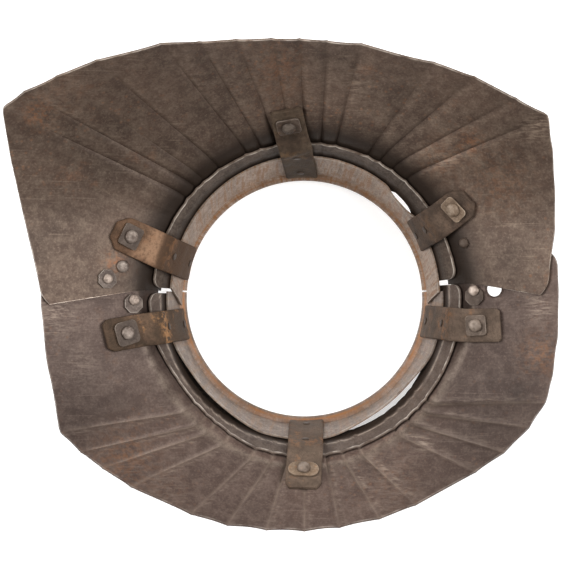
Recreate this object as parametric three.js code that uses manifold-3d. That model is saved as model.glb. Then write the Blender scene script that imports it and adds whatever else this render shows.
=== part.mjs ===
// Fluted steel gorget, lying on its neck rim with the inside up.
// A back half and a front half are joined by one pivot rivet at the left shoulder.
// Each half is a main plate and two neck lames, carried by three riveted leather straps.

import * as THREE from 'three';
import { mergeVertices } from 'three/addons/utils/BufferGeometryUtils.js';
import Module from 'manifold-3d';

const wasm = await Module();
wasm.setup();

// Driving dimensions in millimetres, angles in degrees about the neck axis, 0 along +X
const neckRadius = 65; // inside of the turned rim
const bendRadius = 87.5; // where the neck flange turns out into the body of the plate
const collarHeight = 55; // from the rim to that bend
const backReach = 134; // neck axis to the lower edge at the centre of the back
const frontReach = 120; // the same at the centre of the front
const shoulderSlope = 0.4; // rise of the shoulders for each millimetre outward
const shoulderHalfWidth = 35; // half width of the flat band on which the halves turn
const crownHalfWidth = 60; // half width over which the two shoulder slopes run together
const sheet = 1.2; // steel sheet
const layerGap = 0.5; // between nested lames
const lapGap = 0.5; // between the back half and the front half where they overlap
const fluteDepth = 1.7;
const fluteHalfWidth = 2.4; // degrees at the neck
const neckFluteShare = 0.6; // how deep a flute still is on the neck, as a share of fluteDepth
const rimHeight = 4.4; // height of the turned rim
const neckRowHeight = 6; // where the wall stands clear of the rim
const rimTurn = 1.9; // how far the rim stands in from the lame
const rimBulge = 2.2; // how far it stands out from the lame's inner face
const topLameHeight = 32;
const middleLameStart = 22;
const middleLameHeight = 48;
const lameCorner = 5.7; // how much the ends of a middle lame are rounded off
const flangeStart = 38;
const backSwell = 4.4; // how far the back lames stand out between rim and bend
const frontSwell = 1.6;
const leather = 2.5; // strap thickness
const strapWidth = 18;
const clippedCorner = 0.2; // of straps and their washers, as a share of the width
const seatGap = 0.3; // between pieces that lie on each other
const neckGap = 0.4; // between a strap and the round of the top lame
const outerGap = 0.5; // between a plate and the rivet heads on its outside
const strapOverhang = 8; // how far a strap runs in past the bend before it folds down
const washerThickness = 1.2;
const strapWasher = 12; // side of a strap's washer
const headRadius = 3.3;
const headHeight = 2.2;
const shankRadius = 1.8;
const outerHeadHeight = 1;
const outerHeadTaper = 0.8; // its face as a share of its radius
const smallHeadRadius = 2;
const smallHeadHeight = 0.5;
const smallShankRadius = 1.2;
const highRivetHeight = 41; // of the rivets in the middle lames
const octagonRadius = 5.3; // octagonal washers of the pivot and its neighbours
const closingHoleRadius = 4.8;

const columnSteps = [0.2, 0.8]; // where a pleat is cut between two flutes
const widestColumn = 8; // degrees at the neck between two columns without flutes
const flangeSteps = [0, 0.5]; // rows from the flange's free edge to the bend
const bodySteps = [0, 0.16, 0.42, 0.72, 1]; // rows from the bend to the lower edge
const topLameColumns = 30;
const roundSides = 8;
const smallSides = 5;
const closingHoleSides = 14;

// Neck wall of the back top lame: height as a share of collarHeight,
// reach as a share of the way from neckRadius to bendRadius
const neckProfile = [
  { height: 0.08, reach: 0.084 },
  { height: 0.18, reach: 0.116 },
  { height: 0.36, reach: 0.187 },
  { height: 0.58, reach: 0.32 },
  { height: 0.73, reach: 0.444 },
  { height: 0.87, reach: 0.631 },
  { height: 1, reach: 0.844 },
  { height: 1.2, reach: 1.1 },
];

// Turned rim: height as a share of rimHeight, its inside as a share of rimTurn,
// its outside as a share of rimBulge
const rimProfile = [
  { height: 1, inside: 1, outside: 0.73 },
  { height: 0.72, inside: 0, outside: 1 },
  { height: 0.28, inside: 0, outside: 1 },
  { height: 0, inside: 0.47, outside: 0.45 },
];

// Dome of a rivet head: radius and height as shares of the head's own
const domeProfile = [
  { radius: 1, height: 0 },
  { radius: 0.72, height: 0.75 },
  { radius: 0, height: 1 },
];

// Stations of a plate: its lower edge (angle, reach as a share of the plate's own reach),
// the angle where the same line meets the neck, and how deep a flute runs on that line
const backStations = [
  { edge: 181.2, reach: 1.013, neck: 176.8, flute: 0 },
  { edge: 179.6, reach: 1.038, neck: 174.5, flute: 0 },
  { edge: 176.1, reach: 1.051, neck: 171, flute: 0 },
  { edge: 164.7, reach: 1.133, neck: 160, flute: 0 },
  { edge: 154.6, reach: 1.254, neck: 148, flute: 0 },
  { edge: 147.8, reach: 1.366, neck: 139.6, flute: 0.9 },
  { edge: 143.7, reach: 1.332, neck: 134.6, flute: 1 },
  { edge: 138.1, reach: 1.277, neck: 130.5, flute: 0.5 },
  { edge: 131.4, reach: 1.205, neck: 123.5, flute: 1 },
  { edge: 119.6, reach: 1.112, neck: 112.2, flute: 1 },
  { edge: 112.6, reach: 1.063, neck: 106.5, flute: 1 },
  { edge: 105.1, reach: 1.03, neck: 100.6, flute: 1 },
  { edge: 97.6, reach: 1.008, neck: 95.2, flute: 1 },
  { edge: 91.4, reach: 0.999, neck: 90.4, flute: 1 },
  { edge: 85.4, reach: 0.993, neck: 84.2, flute: 1 },
  { edge: 77.7, reach: 0.998, neck: 78.6, flute: 1 },
  { edge: 61.6, reach: 1.031, neck: 66.2, flute: 1 },
  { edge: 52.8, reach: 1.072, neck: 61.3, flute: 1 },
  { edge: 43.6, reach: 1.122, neck: 55.9, flute: 1 },
  { edge: 37.1, reach: 1.162, neck: 49.5, flute: 1 },
  { edge: 31.3, reach: 1.121, neck: 42, flute: 0 },
  { edge: 22.9, reach: 1.061, neck: 32, flute: 0 },
  { edge: 14.9, reach: 1.015, neck: 22, flute: 0 },
  { edge: 6.8, reach: 0.975, neck: 12, flute: 0 },
  { edge: 3, reach: 0.963, neck: 8, flute: 0 },
  { edge: 1, reach: 0.93, neck: 5.7, flute: 0 },
];
const frontStations = [
  { edge: 173.2, reach: 1.12, neck: 172, flute: 0 },
  { edge: 175.5, reach: 1.155, neck: 175.5, flute: 0 },
  { edge: 181.3, reach: 1.159, neck: 182, flute: 0 },
  { edge: 194.8, reach: 1.166, neck: 203, flute: 0 },
  { edge: 208.3, reach: 1.214, neck: 223.4, flute: 1 },
  { edge: 214.1, reach: 1.183, neck: 229.8, flute: 1 },
  { edge: 219.6, reach: 1.145, neck: 234.1, flute: 1 },
  { edge: 226.7, reach: 1.109, neck: 240.9, flute: 1 },
  { edge: 241.8, reach: 1.054, neck: 251.6, flute: 1 },
  { edge: 250.8, reach: 1.033, neck: 258.3, flute: 1 },
  { edge: 260.3, reach: 1.008, neck: 263.5, flute: 1 },
  { edge: 269.7, reach: 0.999, neck: 269.8, flute: 1 },
  { edge: 278.5, reach: 0.993, neck: 277.4, flute: 1 },
  { edge: 288.7, reach: 1.003, neck: 283.7, flute: 1 },
  { edge: 298.3, reach: 1.012, neck: 290.3, flute: 1 },
  { edge: 314.8, reach: 1.06, neck: 304.5, flute: 1 },
  { edge: 322.5, reach: 1.109, neck: 310.6, flute: 1 },
  { edge: 330.3, reach: 1.135, neck: 315.9, flute: 1 },
  { edge: 336.8, reach: 1.149, neck: 320.2, flute: 1 },
  { edge: 342.4, reach: 1.133, neck: 330, flute: 0 },
  { edge: 351.2, reach: 1.118, neck: 343, flute: 0 },
  { edge: 362.1, reach: 1.113, neck: 357, flute: 0 },
  { edge: 369, reach: 1.125, neck: 367, flute: 0 },
  { edge: 371, reach: 1.09, neck: 368.5, flute: 0 },
];

// The two halves. The front half lies outside the back half by one lap.
const halves = {
  back: {
    lap: 0,
    reach: backReach,
    stations: backStations,
    sideBow: 0,
    middleLame: { from: 175.7, to: 7.6 },
    rim: { from: 176.2, to: 3.9 },
    wallFoot: { from: 183.2, to: -2.4 }, // the end tabs, long at the foot of the wall
    wallTop: { from: 175.4, to: 2.8 },
  },
  front: {
    lap: sheet + lapGap,
    reach: frontReach,
    stations: frontStations,
    sideBow: 4,
    middleLame: { from: 177.7, to: 365.6 },
    rim: { from: 176.9, to: 363.2 },
    wallFoot: { from: 176.9, to: 363.2 },
    wallTop: { from: 176.9, to: 363.2 },
  },
};

// Straps: rivet and free end on the plate (angle, reach as a share of bendRadius), the angle at the
// neck, width as a share of strapWidth, drop of the fold below the bend as a share of strapOverhang,
// heights of the lower end and of the top lame's rivet as shares of topLameHeight;
// washerRise is the share of its thickness by which a washer stands off where the plate is not flat
const straps = [
  { half: 'back', side: 'left', rivet: 160.5, rivetReach: 1.138, end: 160, endReach: 1.243, neck: 163.3,
    width: 1.06, foldDrop: 0.4, foot: 0.22, lowRivet: 0.47, washerRise: 0 },
  { half: 'back', side: 'centre', rivet: 95.6, rivetReach: 1.077, end: 95.9, endReach: 1.16, neck: 90.3,
    width: 0.98, foldDrop: 0.69, foot: 0.22, lowRivet: 0.47, washerRise: 0 },
  { half: 'back', side: 'right', rivet: 30.8, rivetReach: 1.073, end: 31.9, endReach: 1.178, neck: 28.9,
    width: 1.03, foldDrop: 0.3, foot: 0.75, lowRivet: 0.875, washerRise: 0.38 },
  { half: 'front', side: 'left', rivet: 190.4, rivetReach: 1.115, end: 190.8, endReach: 1.235, neck: 192.3,
    width: 0.98, foldDrop: 0.4, foot: 0.22, lowRivet: 0.47, washerRise: 0 },
  { half: 'front', side: 'centre', rivet: 269.4, rivetReach: 1.06, end: 269.3, endReach: 1.143, neck: 271.3,
    width: 1.06, foldDrop: 0.69, foot: 0.22, lowRivet: 0.47, washerRise: 0 },
  { half: 'front', side: 'right', rivet: 351, rivetReach: 1.067, end: 352.4, endReach: 1.196, neck: 348.9,
    width: 1, foldDrop: 0.4, foot: 0.22, lowRivet: 0.47, washerRise: 0 },
];

// Plain rivets in the plates: place, head as a share of headRadius, and the octagonal washer of some,
// whose centre lies off the rivet along Y by washerShift, a share of octagonRadius
const plateRivets = [
  { name: 'back_left_rivet', half: 'back', angle: 169.9, reach: 1.13, head: 0.94, flush: true },
  { name: 'back_right_rivet', half: 'back', angle: 19.5, reach: 1.027, head: 0.7 },
  { name: 'front_left_rivet', half: 'front', angle: 180.3, reach: 1.043, head: 0.79,
    washer: 'front_left_washer', washerShift: -0.36 },
  { name: 'front_right_rivet', half: 'front', angle: 2.9, reach: 1.03, head: 0.79,
    washer: 'front_right_washer', washerShift: -0.55 },
];
const pivot = { angle: 174.2, reach: 1.211, head: 0.73 };
const closingHole = { angle: 3.1, reach: 1.144 };

const steelColour = { back_plate: 0x4c4038, front_plate: 0x5d5047, lame: 0x7c7168, fastener: 0x6d6358 };
const leatherColour = 0x5a4233;

function lookUp(rows, key, value, x) {
  let low = 0;
  while (low < rows.length - 2 && x > rows[low + 1][key]) low += 1;
  const part = (x - rows[low][key]) / (rows[low + 1][key] - rows[low][key]);
  return THREE.MathUtils.lerp(rows[low][value], rows[low + 1][value], part);
}

function polar(angle, reach, height = 0) {
  const turn = THREE.MathUtils.degToRad(angle);
  return new THREE.Vector3(reach * Math.cos(turn), reach * Math.sin(turn), height);
}

// Height of the body of the back plate's inside above the rim
function bodyHeight(x, y) {
  const across = Math.abs(x);
  const rounded = (across * across + crownHalfWidth * crownHalfWidth) / (2 * crownHalfWidth);
  const out = across > crownHalfWidth ? across : rounded;
  const fall = Math.max(0, Math.abs(y) - shoulderHalfWidth);
  // the fall brings the ring at the bend level again at the centre of back and front
  const centreFall = bendRadius - shoulderHalfWidth;
  const bodyCurve = shoulderSlope * (bendRadius - crownHalfWidth / 2) / (centreFall * centreFall);
  return collarHeight + shoulderSlope * (out - bendRadius) + bodyCurve * fall * fall;
}

function bodyNormal(x, y) {
  const step = 0.5;
  const alongX = (bodyHeight(x + step, y) - bodyHeight(x - step, y)) / (2 * step);
  const alongY = (bodyHeight(x, y + step) - bodyHeight(x, y - step)) / (2 * step);
  return new THREE.Vector3(-alongX, -alongY, 1).normalize();
}

// Inner face of the neck wall of a half, layer by layer from the top lame outward
function neckReach(half, height, angle, layer) {
  const share = lookUp(neckProfile, 'height', 'reach', height / collarHeight);
  const rise = THREE.MathUtils.clamp((height - rimHeight) / (neckRowHeight - rimHeight), 0, 1);
  const facing = Math.sin(THREE.MathUtils.degToRad(angle));
  const swell = (facing > 0 ? backSwell : frontSwell) * facing * facing;
  const belly = Math.sin(Math.PI * Math.min(1, height / collarHeight));
  return neckRadius + share * (bendRadius - neckRadius) + swell * belly
    + half.lap * rise + layer * (sheet + layerGap);
}

// Depth of the flutes at a neck angle, 1 on a flute's line
function fluteShare(half, angle) {
  let deepest = 0;
  for (const station of half.stations) {
    const away = Math.abs(station.neck - angle) / fluteHalfWidth;
    if (away < 1) deepest = Math.max(deepest, station.flute * (1 - away) * (1 - away));
  }
  return deepest;
}

function neckFlute(half, height, angle) {
  const wall = THREE.MathUtils.clamp(height / collarHeight, 0, 1);
  return fluteDepth * neckFluteShare * wall * fluteShare(half, angle);
}

// Stations with the pleat cuts between them
function columnsOf(half) {
  const columns = [];
  half.stations.forEach((station, index) => {
    columns.push(station);
    const next = half.stations[index + 1];
    if (!next) return;
    const fluted = station.flute > 0 || next.flute > 0;
    const parts = Math.ceil(Math.abs(next.neck - station.neck) / widestColumn);
    const plainSteps = Array.from({ length: parts - 1 }, (_, step) => (step + 1) / parts);
    for (const part of fluted ? columnSteps : plainSteps) {
      columns.push({
        edge: THREE.MathUtils.lerp(station.edge, next.edge, part),
        reach: THREE.MathUtils.lerp(station.reach, next.reach, part),
        neck: THREE.MathUtils.lerp(station.neck, next.neck, part),
      });
    }
  });
  return columns;
}

// A closed solid between two faces, given as columns of points
function sheetSolid(inside, outside) {
  const columns = inside.length;
  const rows = inside[0].length;
  const positions = [];
  for (const face of [inside, outside]) {
    for (const column of face) for (const point of column) positions.push(point.x, point.y, point.z);
  }
  const index = [];
  const at = (face, column, row) => face * columns * rows + column * rows + row;
  const quad = (a, b, c, d) => index.push(a, b, c, a, c, d);
  for (let i = 0; i < columns - 1; i += 1) {
    for (let j = 0; j < rows - 1; j += 1) {
      quad(at(0, i, j), at(0, i + 1, j), at(0, i + 1, j + 1), at(0, i, j + 1));
      quad(at(1, i, j), at(1, i, j + 1), at(1, i + 1, j + 1), at(1, i + 1, j));
    }
    quad(at(0, i, 0), at(1, i, 0), at(1, i + 1, 0), at(0, i + 1, 0));
    quad(at(0, i, rows - 1), at(0, i + 1, rows - 1), at(1, i + 1, rows - 1), at(1, i, rows - 1));
  }
  for (let j = 0; j < rows - 1; j += 1) {
    quad(at(0, 0, j), at(0, 0, j + 1), at(1, 0, j + 1), at(1, 0, j));
    const last = columns - 1;
    quad(at(0, last, j), at(1, last, j), at(1, last, j + 1), at(0, last, j + 1));
  }
  return facingOut(positions, index);
}

function facingOut(positions, index) {
  let volume = 0;
  const corner = (k) => new THREE.Vector3().fromArray(positions, 3 * index[k]);
  for (let k = 0; k < index.length; k += 3) {
    volume += corner(k).dot(corner(k + 1).cross(corner(k + 2)));
  }
  if (volume < 0) index.reverse();
  const geometry = new THREE.BufferGeometry();
  geometry.setAttribute('position', new THREE.Float32BufferAttribute(positions, 3));
  geometry.setIndex(index);
  return geometry;
}

function solidOf(geometry) {
  const bare = geometry.clone();
  bare.deleteAttribute('normal');
  bare.deleteAttribute('uv');
  const merged = mergeVertices(bare, 1e-4);
  const vertProperties = new Float32Array(merged.attributes.position.array);
  const triVerts = new Uint32Array(merged.index.array);
  return new wasm.Manifold(new wasm.Mesh({ numProp: 3, vertProperties, triVerts }));
}

function cut(geometry, cutters) {
  let solid = solidOf(geometry);
  for (const cutter of cutters) solid = solid.subtract(solidOf(cutter));
  const mesh = solid.getMesh();
  const result = new THREE.BufferGeometry();
  result.setAttribute('position', new THREE.BufferAttribute(mesh.vertProperties, 3));
  result.setIndex(new THREE.BufferAttribute(mesh.triVerts, 1));
  return result;
}

// A round cutter along an axis, long enough to pass the sheets it is meant for
function drill(origin, axis, radius, sides, from, to) {
  const geometry = new THREE.CylinderGeometry(radius, radius, to - from, sides);
  geometry.translate(0, (from + to) / 2, 0);
  geometry.applyQuaternion(new THREE.Quaternion().setFromUnitVectors(THREE.Object3D.DEFAULT_UP, axis));
  geometry.translate(origin.x, origin.y, origin.z);
  return geometry;
}

// The main plate of a half: neck flange, bend and fluted body
function plateSolid(half) {
  const columns = columnsOf(half);
  const smooth = columns.map((column, index) => {
    const bend = polar(column.neck, bendRadius);
    const bendHeight = bodyHeight(bend.x, bend.y);
    const edge = polar(column.edge, column.reach * half.reach);
    const points = flangeSteps.map((part) => {
      const height = THREE.MathUtils.lerp(flangeStart, bendHeight, part);
      return polar(column.neck, neckReach(half, height, column.neck, 2) - half.lap, height);
    });
    // the hidden side edges of the front plate bow out under the back plate
    const sideward = Math.min(index, columns.length - 1 - index) === 0 ? half.sideBow : 0;
    for (const part of bodySteps) {
      const place = bend.clone().lerp(edge, part);
      place.y += sideward * 4 * part * (1 - part);
      place.z = bodyHeight(place.x, place.y);
      points.push(place);
    }
    return points;
  });
  const flangeRows = flangeSteps.length;
  const normals = smooth.map((column, i) => column.map((point, j) => {
    if (j > flangeRows) return bodyNormal(point.x, point.y);
    const inward = polar(columns[i].neck, -1);
    const below = column[Math.max(0, j - 1)];
    const along = column[j + 1].clone().sub(below);
    const run = Math.hypot(along.x, along.y);
    return inward.multiplyScalar(along.z).add(new THREE.Vector3(0, 0, run)).normalize();
  }));
  const inside = smooth.map((column, i) => column.map((point, j) => {
    const share = fluteShare(half, columns[i].neck);
    const envelope = j < flangeRows ? neckFluteShare * point.z / collarHeight : 1;
    const down = half.lap + fluteDepth * envelope * share;
    return point.clone().addScaledVector(normals[i][j], -down);
  }));
  const outside = inside.map((column, i) => column.map((point, j) => (
    point.clone().addScaledVector(normals[i][j], -sheet)
  )));
  return sheetSolid(inside, outside);
}

// A middle lame: a plain conical band with the flutes running on
function middleLameSolid(half) {
  const { from, to } = half.middleLame;
  const low = Math.min(from, to);
  const high = Math.max(from, to);
  const angles = columnsOf(half).map((column) => column.neck);
  const kept = angles.filter((angle) => angle > low + 1 && angle < high - 1).sort((a, b) => a - b);
  const heights = [0, 0.5, 1].map((part) => (
    THREE.MathUtils.lerp(middleLameStart, middleLameHeight, part)
  ));
  const face = (out) => [low, low + 0.9, ...kept, high - 0.9, high].map((angle) => heights.map((height, row) => {
    // the ends are rounded off at the lower edge
    const atCorner = (angle === low || angle === high) && row === heights.length - 1;
    const level = atCorner ? height - lameCorner : height;
    const reach = neckReach(half, level, angle, 1) + neckFlute(half, level, angle) + out;
    return polar(angle, reach, level);
  }));
  return sheetSolid(face(0), face(sheet));
}

// A top lame: the neck wall with its turned rim and, on the back half, the end tabs
function topLameSolid(half) {
  const foot = 2 * rimHeight;
  const wallHeights = [topLameHeight, (topLameHeight + foot) / 2, foot];
  const inside = [];
  const outside = [];
  for (let i = 0; i <= topLameColumns; i += 1) {
    const part = i / topLameColumns;
    const innerColumn = [];
    const outerColumn = [];
    for (const height of wallHeights) {
      const rise = (height - foot) / (topLameHeight - foot);
      const from = THREE.MathUtils.lerp(half.wallFoot.from, half.wallTop.from, rise);
      const to = THREE.MathUtils.lerp(half.wallFoot.to, half.wallTop.to, rise);
      const angle = THREE.MathUtils.lerp(from, to, part);
      const reach = neckReach(half, height, angle, 0);
      innerColumn.push(polar(angle, reach, height));
      outerColumn.push(polar(angle, reach + sheet, height));
    }
    const rimAngle = THREE.MathUtils.lerp(half.rim.from, half.rim.to, part);
    const neck = polar(rimAngle, neckReach(half, neckRowHeight, rimAngle, 0), neckRowHeight);
    innerColumn.push(neck);
    outerColumn.push(polar(rimAngle, neckReach(half, neckRowHeight, rimAngle, 0) + sheet, neckRowHeight));
    for (const row of rimProfile) {
      const height = row.height * rimHeight;
      innerColumn.push(polar(rimAngle, neckRadius + row.inside * rimTurn, height));
      outerColumn.push(polar(rimAngle, neckRadius + rimTurn + row.outside * rimBulge, height));
    }
    inside.push(innerColumn);
    outside.push(outerColumn);
  }
  return sheetSolid(inside, outside);
}

// The inside of a half's plate at a place in plan, with the plate's normal there
function seatOn(half, place) {
  const normal = bodyNormal(place.x, place.y);
  const point = new THREE.Vector3(place.x, place.y, bodyHeight(place.x, place.y));
  return { point: point.addScaledVector(normal, -half.lap), normal };
}

// The point of a line in plan that lies at a given reach from the neck axis
function onLine(start, end, reach) {
  const way = end.clone().sub(start);
  const a = way.lengthSq();
  const b = 2 * start.dot(way);
  const c = start.lengthSq() - reach * reach;
  const part = (-b - Math.sqrt(b * b - 4 * a * c)) / (2 * a);
  return start.clone().addScaledVector(way, part);
}

// Stations of a strap, from its free end on the plate, over the fold, to its foot on the top lame.
// Each gives the point of the strap's underside at a given offset across the strap.
function strapStations(strap) {
  const half = halves[strap.half];
  const rivet = polar(strap.rivet, strap.rivetReach * bendRadius);
  const end = polar(strap.end, strap.endReach * bendRadius);
  const neck = polar(strap.neck, neckRadius);
  const width = strap.width * strapWidth;
  const foot = strap.foot * topLameHeight;
  const squareTo = (way) => new THREE.Vector3(-way.y, way.x, 0).normalize();
  const plateAcross = squareTo(rivet.clone().sub(end));
  const neckAcross = squareTo(neck.clone().sub(rivet));
  const onPlate = (place) => {
    const seat = seatOn(half, place);
    return seat.point.addScaledVector(seat.normal, seatGap);
  };
  const plateStation = (place, share) => ({
    width: share * width,
    under: (offset) => onPlate(place.clone().addScaledVector(plateAcross, offset)),
  });
  const foldStation = (reach) => {
    const place = onLine(rivet, neck, reach);
    const foldHeight = (point) => {
      const bend = new THREE.Vector3(point.x, point.y, 0).setLength(bendRadius);
      return bodyHeight(bend.x, bend.y) - half.lap - strap.foldDrop * strapOverhang;
    };
    const under = (offset) => {
      const point = place.clone().addScaledVector(neckAcross, offset);
      return point.setZ(foldHeight(point));
    };
    return { width, under };
  };
  // across the neck the leather follows the round of the lame
  const neckStation = (reach, height) => {
    const place = onLine(rivet, neck, reach);
    const level = Math.min(height, topLameHeight);
    const middleAngle = THREE.MathUtils.radToDeg(Math.atan2(place.y, place.x));
    const under = (offset) => {
      const angle = middleAngle - THREE.MathUtils.radToDeg(offset / reach);
      const swell = neckReach(half, level, angle, 0) - neckReach(half, level, middleAngle, 0);
      return polar(angle, reach + swell, height);
    };
    return { width, under };
  };
  const squareEnd = end.clone().lerp(rivet, clippedCorner * width / end.distanceTo(rivet));
  const foldReach = bendRadius - strapOverhang;
  const lameReach = (height) => neckReach(half, height, strap.neck, 0) - neckGap;
  const crest = topLameHeight + neckGap;
  const foldHeight = foldStation(foldReach).under(0).z;
  return [
    plateStation(end, 1 - 2 * clippedCorner),
    plateStation(squareEnd, 1),
    plateStation(onLine(rivet, neck, bendRadius + seatGap), 1),
    foldStation(foldReach),
    neckStation((foldReach + lameReach(crest)) / 2 + neckGap, (foldHeight + crest) / 2),
    neckStation(lameReach(crest), crest),
    neckStation(lameReach((crest + foot) / 2), (crest + foot) / 2),
    neckStation(lameReach(foot), foot),
  ];
}

// The two faces of a strap as columns of points, left, middle and right
function strapFaces(strap) {
  const stations = strapStations(strap);
  const under = [-0.5, 0, 0.5].map((side) => (
    stations.map((station) => station.under(side * station.width))
  ));
  const last = stations.length - 1;
  const upper = under.map((column) => {
    let facing = new THREE.Vector3(0, 0, 1);
    return column.map((point, row) => {
      const along = column[Math.min(last, row + 1)].clone().sub(column[Math.max(0, row - 1)]);
      const across = under[2][row].clone().sub(under[0][row]);
      const normal = across.cross(along).normalize();
      if (normal.dot(facing) < 0) normal.negate();
      facing = normal;
      return point.clone().addScaledVector(normal, leather);
    });
  });
  return { under, upper };
}

// A seat on a strap's underside between two stations, with the normal towards the upper face
function strapSeat(faces, station, part) {
  const [left, middle, right] = faces.under;
  const point = middle[station].clone().lerp(middle[station + 1], part);
  const along = middle[station + 1].clone().sub(middle[station]).normalize();
  const leftPoint = left[station].clone().lerp(left[station + 1], part);
  const across = right[station].clone().lerp(right[station + 1], part).sub(leftPoint).normalize();
  const normal = across.clone().cross(along).normalize();
  const above = faces.upper[1][station].clone().sub(middle[station]);
  if (normal.dot(above) < 0) normal.negate();
  return { point, across, normal };
}

// A strap with the seats of its plate rivet and of its two lame rivets
function strapParts(strap) {
  const faces = strapFaces(strap);
  const middle = faces.under[1];
  const rivet = polar(strap.rivet, strap.rivetReach * bendRadius);
  const planDistance = (from, to) => Math.hypot(from.x - to.x, from.y - to.y);
  const rivetPart = planDistance(middle[1], rivet) / planDistance(middle[1], middle[2]);
  const rivetSeat = strapSeat(faces, 1, rivetPart);
  rivetSeat.drop = rivetDrop(halves[strap.half], rivetSeat);
  const neckSeat = (height) => {
    let station = 3;
    while (station < middle.length - 2 && middle[station + 1].z > height) station += 1;
    const top = middle[station].z;
    return strapSeat(faces, station, (top - height) / (top - middle[station + 1].z));
  };
  return {
    geometry: sheetSolid(faces.under, faces.upper),
    rivetSeat,
    lowSeat: neckSeat(strap.lowRivet * topLameHeight),
    highSeat: neckSeat(highRivetHeight),
  };
}

// How far the plate's inside lies below a strap's underside at its rivet
function rivetDrop(half, seat) {
  const below = seatOn(half, seat.point);
  const fluted = half.stations.some((station) => {
    const bend = polar(station.neck, bendRadius);
    const edge = polar(station.edge, station.reach * half.reach);
    const way = edge.clone().sub(bend).normalize();
    const away = new THREE.Vector3(seat.point.x, seat.point.y, 0).sub(bend);
    return station.flute > 0 && Math.abs(way.x * away.y - way.y * away.x) < 2 * headRadius;
  });
  return seat.point.clone().sub(below.point).dot(below.normal) + (fluted ? fluteDepth : 0);
}

// How far behind a seat on a strap the outside of a lame lies, along the seat's normal
function wallBehind(half, seat, layer) {
  const place = seat.point.clone();
  let depth = 0;
  for (let pass = 0; pass < 6; pass += 1) {
    const angle = THREE.MathUtils.radToDeg(Math.atan2(place.y, place.x));
    const outside = neckReach(half, place.z, angle, layer) + sheet;
    const level = Math.hypot(seat.normal.x, seat.normal.y);
    depth += (outside - Math.hypot(place.x, place.y)) / level;
    place.copy(seat.point).addScaledVector(seat.normal, -depth);
  }
  return depth;
}

// A turned piece from rows of radius and height, its base at 0 on the seat
function turned(rows, sides) {
  return new THREE.LatheGeometry(rows.map(([radius, height]) => new THREE.Vector2(radius, height)), sides);
}

function domedRivet(head, top, bottom, flush) {
  const radius = head * headRadius;
  const outerFace = bottom - outerHeadHeight;
  const outerHead = [[0, outerFace], [outerHeadTaper * radius, outerFace], [radius, bottom], [shankRadius, bottom]];
  const lower = flush ? [[0, bottom], [shankRadius, bottom]] : outerHead;
  const dome = domeProfile.map((row) => [row.radius * radius, top + row.height * head * headHeight]);
  return turned([...lower, [shankRadius, top], ...dome], roundSides);
}

function smallRivet(top, bottom) {
  return turned([
    [0, bottom], [smallShankRadius, bottom], [smallShankRadius, top], [smallHeadRadius, top],
    [smallHeadRadius, top + smallHeadHeight], [0, top + smallHeadHeight],
  ], smallSides);
}

function roundPath(radius, sides) {
  const path = new THREE.Path();
  for (let k = 0; k < sides; k += 1) {
    const turn = (2 * Math.PI * (k + 0.5)) / sides;
    const place = [radius * Math.cos(turn), radius * Math.sin(turn)];
    if (k === 0) path.moveTo(...place);
    else path.lineTo(...place);
  }
  path.closePath();
  return path;
}

// A flat washer with its hole off the centre by shift along its own Y
function washerGeometry(outline, hole, shift) {
  const shape = new THREE.Shape(outline);
  const holePath = roundPath(hole, roundSides);
  shape.holes.push(new THREE.Path(holePath.getPoints().map((point) => new THREE.Vector2(point.x, point.y + shift))));
  return new THREE.ExtrudeGeometry(shape, { depth: washerThickness, bevelEnabled: false });
}

function clippedSquare(side) {
  const far = side / 2;
  const near = far - clippedCorner * side;
  const corners = [[far, near], [near, far], [-near, far], [-far, near],
    [-far, -near], [-near, -far], [near, -far], [far, -near]];
  return corners.map(([x, y]) => new THREE.Vector2(x, y));
}

function octagon(radius) {
  const corners = roundPath(radius, roundSides).getPoints();
  return corners.slice(0, roundSides);
}

const model = new THREE.Group();

function material(colour, roughness, metalness) {
  return new THREE.MeshStandardMaterial({ color: colour, roughness, metalness, side: THREE.FrontSide });
}
const finishes = {
  back_plate: material(steelColour.back_plate, 0.6, 0.8),
  front_plate: material(steelColour.front_plate, 0.6, 0.8),
  lame: material(steelColour.lame, 0.55, 0.8),
  fastener: material(steelColour.fastener, 0.6, 0.8),
  leather: material(leatherColour, 0.85, 0),
};

function addPiece(name, geometry, finish) {
  geometry.computeVertexNormals();
  const mesh = new THREE.Mesh(geometry, finish);
  mesh.name = name;
  model.add(mesh);
  return mesh;
}

// A turned piece stands on its seat with its own Y along the seat's normal
function addTurned(name, geometry, seat, finish) {
  const mesh = addPiece(name, geometry, finish);
  mesh.position.copy(seat.point);
  mesh.quaternion.setFromUnitVectors(THREE.Object3D.DEFAULT_UP, seat.normal);
  return mesh;
}

// A washer lies on its seat with its own X across and its Z along the seat's normal
function addWasher(name, geometry, seat, lift) {
  const mesh = addPiece(name, geometry, finishes.fastener);
  const alongSeat = seat.normal.clone().cross(seat.across).normalize();
  const turned = new THREE.Matrix4().makeBasis(seat.across, alongSeat, seat.normal);
  mesh.quaternion.setFromRotationMatrix(turned);
  mesh.position.copy(seat.point).addScaledVector(seat.normal, lift);
  return mesh;
}

// Holes wanted by the fasteners, gathered for each piece
const holes = {};
function wantHole(name, cutter) {
  holes[name] = holes[name] ?? [];
  holes[name].push(cutter);
}

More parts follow.
